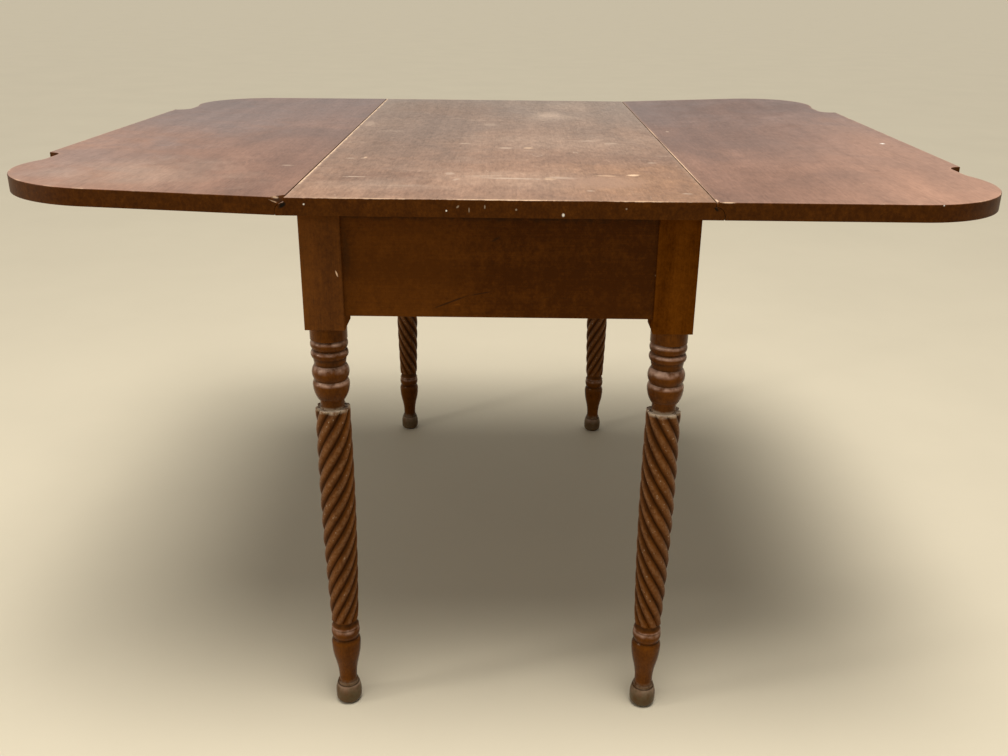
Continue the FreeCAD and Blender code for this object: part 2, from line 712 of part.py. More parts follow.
def rail_screw(name, y, z, room="0"):
    """Screw from inside the frame, head let in flush with the inner rail."""
    head = rod(f"{name}_head", "x", f"top_screw_head_diameter + 2 * {room}",
               (RAIL_INSIDE, f"{RAIL_INSIDE} + top_screw_head_height + {room}"), y=y, z=z)
    shank = rod(f"{name}_shank", "x", f"top_screw_diameter + 2 * {room}",
                (RAIL_INSIDE, f"{RAIL_INSIDE} + rail_screw_length + {room}"), y=y, z=z)
    return joined(name, [head, shank])


def knuckle_spans():
    """Height spans of the knuckles from the bottom up, with a clearance between each two."""
    step = f"((apron_height - fly_top_gap) / {KNUCKLES})"
    gap = "knuckle_clearance / 2"
    return [(f"{APRON_BOTTOM} + {k} * {step} + {gap}", f"{APRON_BOTTOM} + {k + 1} * {step} - {gap}")
            for k in range(KNUCKLES)]


def knuckle_stack(name, spans, diameter, toward, face):
    """Round knuckles on the back fly's axis, each with a neck that runs back to the board they belong to."""
    low, high = sorted([FLY_AXIS_Y, toward], key=number)
    solids = []
    for span in spans:
        solids.append(rod(f"{name}_round", "z", diameter, span, FLY_AXIS_X, FLY_AXIS_Y))
        solids.append(block(f"{name}_neck", face, (low, high), span))
    return solids


def pin_bore(name):
    """Bore for the back fly's pin, through all the knuckles."""
    diameter = "fly_pin_diameter + 2 * pin_clearance"
    return rod(name, "z", diameter, (APRON_BOTTOM, UNDERSIDE), FLY_AXIS_X, FLY_AXIS_Y)


def make_rails():
    """Inner rails tenoned into the posts, and outer rails with a stack of knuckles at each end."""
    heights = (APRON_BOTTOM, UNDERSIDE)
    tenon_heights = (f"{APRON_BOTTOM} + tenon_shoulder_height", f"{UNDERSIDE} - tenon_shoulder_height")
    face = block("rail_face", (RAIL_INSIDE, FLY_INSIDE), (f"-{POST_INSIDE_Y}", POST_INSIDE_Y), heights)
    tenon_faces = (f"{RAIL_MIDDLE} - tenon_thickness / 2", f"{RAIL_MIDDLE} + tenon_thickness / 2")
    tenons = block("rail_tenons", tenon_faces, (f"-{SIDE_TENON_END}", SIDE_TENON_END), tenon_heights)
    sides = top_screw_places()[1]
    holes = sum((top_screw_hole("rail_hole", x, y) for x, y in sides if x.startswith("1")), [])
    screw_holes = [rail_screw("rail_screw_hole", y, z, "screw_clearance") for y, z in rail_screw_places()]
    rail_blank = joined("rail_blank", [face, tenons])
    inner = keep("right_inner_rail", carved("right_inner_rail", rail_blank, holes + screw_holes))
    keep("left_inner_rail", mirrored("left_inner_rail", inner, ACROSS))

    shoulder = f"({FLY_AXIS_Y} - {KNUCKLE_REACH})"
    rail_face = (FLY_INSIDE, FLY_OUTSIDE)
    middle = block("fly_rail_face", rail_face, (f"-{shoulder}", shoulder), heights)
    knuckles = knuckle_stack("fly_rail", knuckle_spans()[::2], "fly_rail_thickness", shoulder, rail_face)
    stack = joined("fly_rail_stack", knuckles)
    bore = pin_bore("fly_rail_bore")
    cuts = [bore, mirrored("fly_rail_front_bore", bore, ALONG)]
    cuts += [rail_screw("fly_rail_hole", y, z, "screw_clearance") for y, z in rail_screw_places()]
    blank = joined("fly_rail_blank", [middle, stack, mirrored("fly_rail_front_stack", stack, ALONG)])
    outer = keep("right_fly_rail", carved("right_fly_rail", blank, cuts))
    keep("left_fly_rail", mirrored("left_fly_rail", outer, ACROSS))

    screws = joined("rail_screw_set", [rail_screw("rail_screw", y, z) for y, z in rail_screw_places()])
    left_screws = mirrored("left_rail_screw_set", screws, ACROSS)
    keep("fly_rail_screws", joined("fly_rail_screws", [screws, left_screws]))


# Fly brackets

def make_flies():
    """Back right fly with an ogee under its free end, its pin, and their mirror images."""
    top = f"({UNDERSIDE} - fly_top_gap)"
    start = f"({FLY_AXIS_Y} + {KNUCKLE_REACH})"
    tip = f"({POST_INSIDE_Y} - fly_end_gap)"
    ogee_start = f"({FLY_AXIS_Y} + fly_ogee_start_length)"
    ogee_end = f"({tip} - fly_tip_flat_length)"
    tip_bottom = f"({top} - fly_tip_height)"
    run = f"(({ogee_end} - {ogee_start}) / 2)"
    rise = f"(({tip_bottom} - {APRON_BOTTOM}) / 2)"
    # The ogee is two equal arcs that meet half way, each level at its outer end.
    radius = bow(rise, run)
    corners = [
        (start, APRON_BOTTOM),
        (ogee_start, APRON_BOTTOM, radius, 1),
        (f"{ogee_start} + {run}", f"{APRON_BOTTOM} + {rise}", radius, -1),
        (ogee_end, tip_bottom),
        (tip, tip_bottom),
        (tip, top),
        (start, top),
    ]
    thickness = "(fly_rail_thickness - 2 * fly_side_gap)"
    arm = place(padded("fly_arm", "YZ_Plane", corners, thickness), FLY_AXIS_X)
    face = (f"{FLY_AXIS_X} - {thickness} / 2", f"{FLY_AXIS_X} + {thickness} / 2")
    stack = knuckle_stack("fly", knuckle_spans()[1::2], thickness, start, face)
    fly_blank = joined("fly_blank", [arm] + stack)
    fly = keep("right_back_fly", carved("right_back_fly", fly_blank, [pin_bore("fly_bore")]))
    pin = keep("right_back_fly_pin", rod("fly_pin", "z", "fly_pin_diameter",
                                         (APRON_BOTTOM, top), FLY_AXIS_X, FLY_AXIS_Y))
    for kind, item in (("fly", fly), ("fly_pin", pin)):
        front = keep(f"right_front_{kind}", mirrored(f"right_front_{kind}", item, ALONG))
        keep(f"left_front_{kind}", mirrored(f"left_front_{kind}", front, ACROSS))
        keep(f"left_back_{kind}", mirrored(f"left_back_{kind}", item, ACROSS))


make_top()
make_leaves()
make_hinges()
make_legs()
make_aprons()
make_rails()
make_flies()
make_top_screws()
doc.recompute()

for item in doc.Objects:
    if "Invalid" in item.State or "Error" in item.State:
        raise RuntimeError(f"{item.Name} failed: {item.State}")
for name, item in pieces.items():
    if item.Shape.isNull() or not item.Shape.isValid() or not item.Shape.Solids:
        raise RuntimeError(f"{name} has no sound shape")

os.makedirs("parts", exist_ok=True)
for name, item in pieces.items():
    item.Shape.exportStep(f"parts/{name}.step")
    print(f"{name}: {len(item.Shape.Solids)} solid(s), {item.Shape.Volume:.1f} mm3")
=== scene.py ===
import functools
import math

import bmesh
import bpy
from bpy.props import FloatProperty, FloatVectorProperty, PointerProperty
from mathutils import Matrix, Vector


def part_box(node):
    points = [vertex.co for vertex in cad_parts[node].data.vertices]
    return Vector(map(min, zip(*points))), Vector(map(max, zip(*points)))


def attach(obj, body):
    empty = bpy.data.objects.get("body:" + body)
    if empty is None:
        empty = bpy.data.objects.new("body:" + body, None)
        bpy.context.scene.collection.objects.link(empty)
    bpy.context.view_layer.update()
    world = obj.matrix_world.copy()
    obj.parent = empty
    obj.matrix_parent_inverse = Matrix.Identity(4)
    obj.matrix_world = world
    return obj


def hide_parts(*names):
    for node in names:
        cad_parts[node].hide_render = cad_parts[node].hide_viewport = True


bl_info = {
    "name": "Drop-leaf table",
    "version": (1, 0, 0),
    "blender": (4, 5, 0),
    "location": "View3D > Sidebar > Table",
    "description": "Finishes a drop-leaf table on rope-twisted legs around its packed frame",
    "category": "Add Mesh",
}

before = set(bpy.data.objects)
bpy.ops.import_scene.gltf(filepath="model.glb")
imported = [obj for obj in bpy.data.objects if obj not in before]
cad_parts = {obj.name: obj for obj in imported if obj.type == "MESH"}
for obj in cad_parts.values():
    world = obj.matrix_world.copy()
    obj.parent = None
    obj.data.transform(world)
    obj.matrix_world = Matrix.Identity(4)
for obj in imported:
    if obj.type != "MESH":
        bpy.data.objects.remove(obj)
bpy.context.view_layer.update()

# Places on the frame, in metres
SIDES = ("left", "right")
ENDS = ("front", "back")
LEAF_LOW, LEAF_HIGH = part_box("right_leaf")
LEG_LOW, LEG_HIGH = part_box("front_left_leg")
TABLE_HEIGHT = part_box("fixed_top")[1].z
HALF_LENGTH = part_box("fixed_top")[1].y
BOARD_FACE = -HALF_LENGTH
APRON_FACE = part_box("front_apron")[0].y
POST_FACE = LEG_LOW.y
SEAM_X = LEAF_LOW.x
SEAM_GAP = 0.0008
TOP_SEAM_X = SEAM_X - SEAM_GAP

# Heights at which the finish of a leg changes
POST_HEIGHT = 0.145
CAPITAL_HEIGHT = 0.111
POST_FOOT = LEG_HIGH.z - POST_HEIGHT
TWIST_TOP = POST_FOOT - CAPITAL_HEIGHT
TWIST_BOTTOM = 0.138
FLARE_FOOT = 0.1265
COLLAR_FOOT = 0.111
FOOT_TOP = 0.034
FOOT_RING = 0.030
FOOT_GROOVE = 0.0298

# How much the arrises are rubbed, and what share of that their border on the upper side gets
BORDER_WEAR = 0.4
TOP_WEAR = 1.0
LEAF_WEAR = 0.55
POST_WEAR = 0.4
TOP_SEAM_WEAR = {"left": 0.95, "right": 0.45}
LEAF_SEAM_WEAR = {"left": 0.0, "right": 1.2}
# Length at the front end of each seam over which the top is less rubbed, which is also the longest step
# between the cuts across the top, and the share of wear left at that end
SEAM_FADE = 0.16
SEAM_END_SHARE = 0.5
# Width of an arris with its border, in radii
ARRIS_WIDTH = 1.5
# How far the front corner of each leaf beside the seam is broken off, with its direction along each axis
CHIPS = {"left": (0.015, -0.007, 0.008), "right": (-0.004, -0.004, 0.003)}

# Rows along a leg, for finding its hollows and crests
ROW_HEIGHT = 0.002
ROW_REACH = 2
HOLLOW_DEPTH = 0.0042
CREST_SHARPNESS = 4.0
# Ledges of a turning: share of their reach that is a rim with dust, the neck above that stays clean, and
# how much of its grime the neck keeps
RIM_SHARE = 0.86
NECK_HEIGHT = 0.012
NECK_GRIME = 0.25
LEDGE_INSET = 0.0004
LEDGE_FACING = 0.9
# How far the dust reaches down the ends of the twist, and how much of it lies on a foot
RIM_DROP = 0.005
FOOT_DUST = 0.2

# Slack for comparing places, and for telling a seam or the foot of a post
HAIR = 0.0001
SEAM_SLACK = 0.001
POST_SLACK = 0.001
MERGE_DISTANCE = 0.00001
FLAT_ANGLE = math.radians(0.2)
SHARP_ANGLE = math.radians(35)
BOARD_SMOOTHING = math.radians(32)
LEG_SMOOTHING = math.radians(40)
ARRIS_SEGMENTS = 3
ROUND_PROFILE = 0.5
LEVEL_FACING = 0.99
SQUARE_FACING = 0.9999


def display(red, green, blue):
    """Linear colour of a display colour given from 0 to 255."""
    def linear(value):
        share = value / 255
        return share / 12.92 if share <= 0.04045 else ((share + 0.055) / 1.055) ** 2.4
    return linear(red), linear(green), linear(blue)


# Settings that a user would change

def length(name, description, default):
    """Length in metres."""
    return FloatProperty(name=name, description=description, default=default, unit="LENGTH")


def tone(name, description, *shown):
    """Colour, given as it is displayed, from 0 to 255."""
    return FloatVectorProperty(name=name, description=description, subtype="COLOR", default=display(*shown))


class TableSizes(bpy.types.PropertyGroup):
    """Sizes of the finish on the boards and legs."""

    arris_radius: length("Arris radius", "How far the arrises of the boards are rubbed round", 0.0014)
    post_arris_radius: length(
        "Post arris radius", "How far the arrises of posts, aprons and rails are rubbed round", 0.0009)
    worn_band: length("Worn band", "Width of the rubbed band inside the arrises of the boards", 0.006)
    twist_step: length("Twist step", "Distance between the cuts that let a leaf twist smoothly", 0.045)
    right_back_raise: length(
        "Right leaf, back corner", "How far the right leaf's back corner has warped up", 0.0134)
    right_front_raise: length(
        "Right leaf, front corner", "How far the right leaf's front corner has warped up", 0.0)
    left_back_raise: length(
        "Left leaf, back corner", "How far the left leaf's back corner has warped up", -0.001)
    left_front_raise: length(
        "Left leaf, front corner", "How far the left leaf's front corner has warped up", 0.0123)
    left_front_shrink: length(
        "Left leaf, front shrinkage", "How far the left leaf's outer edge has drawn in at the front", 0.006)
    left_back_shrink: length(
        "Left leaf, back shrinkage", "How far the left leaf's outer edge has drawn in at the back", 0.003)
    right_front_shrink: length(
        "Right leaf, front shrinkage", "How far the right leaf's outer edge has drawn in at the front",
        -0.0065)
    right_back_shrink: length(
        "Right leaf, back shrinkage", "How far the right leaf's outer edge has drawn in at the back", 0.002)


class TableColours(bpy.types.PropertyGroup):
    """Colours of the wood, its old finish and the metal."""

    top_dark: tone("Top, dark", "Dark clouds of the fixed top", 108, 80, 64)
    top_light: tone("Top, light", "Light clouds of the fixed top", 156, 122, 99)
    top_worn: tone("Top, worn", "Rubbed and faded patches of the top", 178, 153, 132)
    # Top glare: painted reflection that greys the top towards the back
    top_glare: tone("Top, glare", "Greyed polish of the top towards the back", 131, 117, 105)
    leaf_dark: tone("Leaf, dark", "Dark clouds of the leaves", 98, 72, 60)
    leaf_light: tone("Leaf, light", "Light clouds of the leaves", 150, 114, 95)
    # Leaf worn: also laid as painted reflection, paler towards the outer front of each leaf
    leaf_worn: tone("Leaf, worn", "Rubbed patches of the leaves", 172, 131, 107)
    # Leaf glare: painted reflection that greys the leaves towards the back
    leaf_glare: tone("Leaf, glare", "Greyed polish of the leaves towards the back", 118, 107, 103)
    edge_dark: tone("Edges", "Dark finish on the edges of the boards", 57, 25, 0)
    frame_dark: tone("Frame, dark", "Dark streaks of aprons, posts and legs", 64, 29, 0)
    frame_light: tone("Frame, light", "Light streaks of aprons, posts and legs", 112, 62, 12)
    bare_wood: tone("Bare wood", "Wood that shows where an arris is rubbed through", 226, 190, 154)
    raw_wood: tone("Raw wood", "Unfinished wood below the boards and inside the frame", 150, 108, 74)
    # Dust: also laid as painted glints on the crests of the twist, and as painted light on the left post
    dust: tone("Dust", "Pale dust on the ledges of the legs", 190, 170, 144)
    filler: tone("Filler", "Pale specks and filled holes", 244, 236, 222)
    dirt: tone("Dirt", "Grey dirt on the feet", 90, 77, 55)
    # Crests: rubbed crests of the twist, which also stand for a painted highlight on them
    crest: tone("Crests", "Rubbed crests of the twist", 154, 112, 76)
    # Pale colour of the upper sides of the beads: painted highlight, partly rubbed polish
    rub_and_highlight: tone("Sheen", "Pale rubbed polish on the upper sides of the beads", 196, 160, 138)
    # Gaps: also painted shadow in the band along the top of the aprons
    gap: tone("Gaps", "Dark gaps in the joints", 14, 9, 5)
    # Grime: also painted shade in the hollows of the twist, in the grooves round the legs and in a band along
    # the top of the aprons
    grime: tone("Grime", "Old polish and dirt in the hollows", 44, 24, 8)
    iron: tone("Iron", "Wrought hinge iron", 92, 88, 84)
    rust: tone("Rust", "Rust on the hinges and screws", 96, 58, 34)


class StageSettings(bpy.types.PropertyGroup):
    """Camera, floor and light."""

    camera_place: FloatVectorProperty(
        name="Camera place", description="Where the camera stands", subtype="XYZ", unit="LENGTH",
        default=(0.008694, -1.64169, 0.96743))
    camera_pitch: FloatProperty(
        name="Pitch", description="How far the camera looks down", subtype="ANGLE", default=0.3791)
    camera_roll: FloatProperty(
        name="Roll", description="How far the camera leans", subtype="ANGLE", default=0.0111)
    camera_yaw: FloatProperty(
        name="Yaw", description="How far the camera looks to the right", subtype="ANGLE", default=-0.0014)
    lens: FloatProperty(
        name="Lens", description="Focal length on a 36 mm wide sensor, in millimetres", default=35.494)
    floor_colour: tone("Floor", "Colour of the floor", 205, 192, 165)
    room_colour: tone("Room", "Colour of the room around the table", 214, 214, 210)
    room_light: FloatProperty(
        name="Room light", description="Strength of the light from the room all round", default=0.46)
    seen_light: FloatProperty(
        name="Seen light", description="Strength of the room as the camera and glossy sides see it",
        default=0.68)
    overhead_light: FloatProperty(
        name="Overhead light", description="Strength of the even light from above", default=2.15)
    ceiling_light: FloatProperty(
        name="Ceiling light", description="Power of the lamp that gives the highlights", unit="POWER",
        default=50.0)
    window_light: FloatProperty(
        name="Window light", description="Power of the small light on the left", unit="POWER", default=14.0)


# Node trees

class Wiring:
    """Short calls for adding and joining the nodes of one tree."""

    def __init__(self, tree):
        self.tree = tree

    def add(self, kind, inputs=None, **settings):
        """New node with its settings, and its inputs linked to a socket or set to a value."""
        item = self.tree.nodes.new(f"ShaderNode{kind}")
        for name, value in settings.items():
            setattr(item, name, value)
        for name, value in (inputs or {}).items():
            self.join(item.inputs[name], value)
        return item

    def join(self, socket, value):
        """Links a socket to another one, or sets its value."""
        if isinstance(value, bpy.types.NodeSocket):
            self.tree.links.new(value, socket)
        else:
            socket.default_value = value

    def group(self, tree, **inputs):
        """Outputs of a node group that is placed with its inputs."""
        return self.add("Group", inputs, node_tree=tree).outputs

    def attribute(self, name):
        """Value that the mesh holds at each point."""
        return self.add("Attribute", attribute_name=name).outputs["Fac"]

    def parts(self, vector):
        """X, Y and Z of a vector."""
        return self.add("SeparateXYZ", {0: vector}).outputs

    def facing(self):
        """How far the surface faces up, from -1 to 1."""
        return self.parts(self.add("TexCoord").outputs["Normal"])["Z"]

    def math(self, operation, *values):
        """Math node on one, two or three values."""
        return self.add("Math", dict(enumerate(values)), operation=operation).outputs[0]

    def vector(self, operation, *values):
        """Vector math node on one or two vectors."""
        outputs = self.add("VectorMath", dict(enumerate(values)), operation=operation).outputs
        return outputs["Value"] if operation == "LENGTH" else outputs[0]

    def times(self, first, second):
        """Product of two values."""
        return self.math("MULTIPLY", first, second)

    def plus(self, base, value, share):
        """Base with a share of a value added to it."""
        return self.math("MULTIPLY_ADD", value, share, base)

    def sway(self, base, value, share):
        """Base that goes up and down by a share of what a value is above and below a half."""
        return self.plus(base, self.math("SUBTRACT", value, 0.5), share)

    def step(self, value, low, high):
        """Smooth step from 0 at low to 1 at high."""
        inputs = {"Value": value, "From Min": low, "From Max": high}
        return self.add("MapRange", inputs, interpolation_type="SMOOTHSTEP").outputs[0]

    def near(self, value, middle, far, close):
        """Smooth step from 0 at a far distance from a middle to 1 at a close one."""
        return self.step(self.math("ABSOLUTE", self.math("SUBTRACT", value, middle)), far, close)

    def band(self, value, low, high, inner_share):
        """1 in the inner share of a band around its middle, falling to 0 at its ends."""
        reach = (high - low) / 2
        return self.near(value, low + reach, reach, inner_share * reach)

    def noise(self, place, scale=1.0, detail=3.0, roughness=0.55, distortion=0.0, stretch=None):
        """Noise value from 0 to 1, on a place that may be stretched along each axis."""
        if stretch:
            place = self.vector("MULTIPLY", place, stretch)
        inputs = {"Vector": place, "Scale": scale, "Detail": detail, "Roughness": roughness,
                  "Distortion": distortion}
        return self.add("TexNoise", inputs).outputs["Fac"]

    def mix(self, share, first, second, blend="MIX"):
        """Two colours mixed."""
        inputs = {0: share, 6: first, 7: second}
        return self.add("Mix", inputs, data_type="RGBA", blend_type=blend).outputs[2]

    def lay(self, colour, over, mask, share):
        """Colour with another one laid over it, as far as a share of a mask lets it show."""
        return self.mix(self.times(mask, share), colour, opaque(over))


def opaque(colour):
    """Colour with full alpha."""
    return (*colour, 1.0)


def new_group(name, inputs, outputs):
    """Empty node group with named sockets, its wiring, its inputs and what it puts out."""
    tree = bpy.data.node_groups.new(name, "ShaderNodeTree")
    for socket, kind in inputs.items():
        tree.interface.new_socket(socket, in_out="INPUT", socket_type=f"NodeSocket{kind}")
    for socket in outputs:
        tree.interface.new_socket(socket, in_out="OUTPUT", socket_type="NodeSocketFloat")
    start = tree.nodes.new("NodeGroupInput")
    end = tree.nodes.new("NodeGroupOutput")
    return tree, Wiring(tree), start.outputs, end.inputs


def shared_group(name):
    """Lets a function build its node group once, and find it by its name after that."""
    def wrap(build):
        @functools.wraps(build)
        def find():
            return bpy.data.node_groups.get(name) or build(name)
        return find
    return wrap


@shared_group("Timber grain")
def grain_group(name):
    """Streaks of timber that run along Y: broad figure, fine fibre and short dark pores."""
    tree, wire, given, made = new_group(name, {"Place": "Vector"}, ("Figure", "Fibre", "Pores"))
    place = given["Place"]
    slow = wire.vector("MULTIPLY", place, (1.0, 0.10, 1.0))
    bands = wire.add("TexWave", {"Vector": slow, "Scale": 5.0, "Distortion": 7.0, "Detail": 3.0,
                                 "Detail Scale": 1.6, "Detail Roughness": 0.6}).outputs["Fac"]
    broad = wire.noise(slow, scale=11.0, detail=4.0, roughness=0.6, distortion=0.3)
    figure = wire.plus(wire.times(broad, 0.75), bands, 0.35)
    wire.join(made["Figure"], wire.step(figure, 0.25, 0.85))
    wire.join(made["Fibre"], wire.noise(place, roughness=0.6, stretch=(420.0, 9.0, 420.0)))
    pores = wire.noise(place, detail=1.0, roughness=0.4, stretch=(900.0, 45.0, 900.0))
    wire.join(made["Pores"], wire.step(pores, 0.64, 0.74))
    return tree


# Hairline scratches in three directions: how each pattern is stretched, and how wide its lines are
SCRATCHES = (((3.0, 26.0, 3.0), 0.0022), ((11.0, 4.0, 11.0), 0.0016), ((5.0, 44.0, 5.0), 0.003))


@shared_group("Old finish")
def age_group(name):
    """Marks of use on an old finish: clouds, stains, mottle, streaks, scratches and small flecks."""
    outputs = ("Cloud", "Stain", "Mottle", "Speck", "Streak", "Scratch", "Fleck")
    tree, wire, given, made = new_group(name, {"Place": "Vector"}, outputs)
    place = given["Place"]
    cloud = wire.noise(place, detail=6.0, roughness=0.6, distortion=0.5, stretch=(5.6, 3.8, 5.0))
    wire.join(made["Cloud"], wire.step(cloud, 0.34, 0.68))
    stain = wire.noise(place, scale=3.1, detail=4.0, roughness=0.5, distortion=0.8)
    wire.join(made["Stain"], wire.step(stain, 0.56, 0.70))
    wire.join(made["Mottle"], wire.noise(place, detail=4.0, roughness=0.62, stretch=(95.0, 44.0, 80.0)))
    wire.join(made["Speck"], wire.noise(place, roughness=0.65, stretch=(330.0, 62.0, 260.0)))
    streaks = wire.noise(place, distortion=0.3, stretch=(11.0, 40.0, 30.0))
    patches = wire.noise(place, detail=2.0, stretch=(4.0, 6.0, 5.0))
    wire.join(made["Streak"], wire.times(wire.step(streaks, 0.58, 0.74), wire.step(patches, 0.48, 0.62)))
    scratch = 0.0
    for stretch, width in SCRATCHES:
        field = wire.noise(place, detail=2.0, roughness=0.4, distortion=0.2, stretch=stretch)
        line = wire.near(field, 0.5, width, 0.0)
        gate = wire.noise(place, scale=stretch[1], detail=1.0, stretch=(7.0, 9.0, 7.0))
        scratch = wire.math("MAXIMUM", scratch, wire.times(line, wire.step(gate, 0.55, 0.62)))
    wire.join(made["Scratch"], scratch)
    dots = wire.add("TexVoronoi", {"Vector": place, "Scale": 26.0}).outputs["Distance"]
    gate = wire.noise(place, scale=9.0, detail=2.0)
    wire.join(made["Fleck"], wire.times(wire.step(dots, 0.06, 0.02), wire.step(gate, 0.60, 0.66)))
    return tree


@shared_group("Mark")
def mark_group(name):
    """One ragged mark at a place, as long, deep and high as its size."""
    inputs = dict.fromkeys(("Place", "Centre", "Size", "Turn"), "Vector")
    tree, wire, given, made = new_group(name, inputs, ("Mark",))
    away = wire.vector("SUBTRACT", given["Place"], given["Centre"])
    rotate = wire.add("VectorRotate", {"Vector": away, "Rotation": given["Turn"]}, rotation_type="EULER_XYZ")
    reach = wire.vector("LENGTH", wire.vector("DIVIDE", rotate.outputs[0], given["Size"]))
    ragged = wire.plus(reach, wire.noise(given["Place"], scale=160.0, roughness=0.6), 0.9)
    wire.join(made["Mark"], wire.step(ragged, 1.35, 0.75))
    return tree


@shared_group("Patch")
def patch_group(name):
    """One large soft patch at a place, with an uneven outline."""
    inputs = dict.fromkeys(("Place", "Centre", "Size"), "Vector")
    tree, wire, given, made = new_group(name, inputs, ("Patch",))
    away = wire.vector("SUBTRACT", given["Place"], given["Centre"])
    reach = wire.vector("LENGTH", wire.vector("DIVIDE", away, given["Size"]))
    uneven = wire.noise(given["Place"], scale=15.0, detail=5.0, roughness=0.62, distortion=0.4)
    wire.join(made["Patch"], wire.step(wire.sway(reach, uneven, 2.0), 1.35, 0.0))
    return tree


@shared_group("Rubbed arris")
def wear_group(name):
    """Edge value of the mesh broken up into rubbed and whole stretches."""
    inputs = {"Place": "Vector", "Edge": "Float", "Reach": "Float"}
    tree, wire, given, made = new_group(name, inputs, ("Rubbed",))
    uneven = wire.noise(given["Place"], scale=38.0, detail=4.0, roughness=0.65)
    low = wire.math("SUBTRACT", 1.0, given["Reach"])
    high = wire.math("ADD", low, 0.3)
    wire.join(made["Rubbed"], wire.step(wire.sway(given["Edge"], uneven, 1.3), low, high))
    return tree


@shared_group("Grime in hollows")
def grime_and_shade_group(name):
    """Hollow value of the mesh broken up into old polish and dirt, which also darkens the hollows as painted
    shade.
    """
    tree, wire, given, made = new_group(name, {"Place": "Vector", "Hollow": "Float"}, ("Grime",))
    uneven = wire.noise(given["Place"], scale=60.0, roughness=0.6)
    wire.join(made["Grime"], wire.step(wire.sway(given["Hollow"], uneven, 0.5), 0.12, 0.72))
    return tree


# Single marks, each with its colour, share, centre, half size and turn

FLAT = (0.0, 0.0, 0.0)
# How deep a mark reaches into a board from its top side, from a warped leaf's and from an arris
TOP_DEPTH = 0.01
LEAF_DEPTH = 0.02
ARRIS_DEPTH = 0.003
# How deep a mark reaches in from the front end: a speck, a rubbed line and an open joint
SPECK_DEPTH = 0.004
LINE_DEPTH = 0.002
JOINT_DEPTH = 0.008
# How deep a stroke and a shade reach into the apron
STROKE_DEPTH = 0.006
SHADE_DEPTH = 0.02
# Half size across of a mark that goes all round the legs
ALL_ROUND = 2.0


def on_top(over, share, place, half, turn=0.0, depth=TOP_DEPTH):
    """Mark on the top side of a board, at X and Y."""
    return over, share, (*place, TABLE_HEIGHT), (*half, depth), (0.0, 0.0, turn)


def on_end(over, share, place, half, lean=0.0, depth=SPECK_DEPTH, face=BOARD_FACE):
    """Mark on a side that faces the front, at X and Z."""
    return over, share, (place[0], face, place[1]), (half[0], depth, half[1]), (0.0, lean, 0.0)


def all_round(over, share, height, half_height):
    """Line all round each leg."""
    return over, share, (0.0, 0.0, height), (ALL_ROUND, ALL_ROUND, half_height), FLAT


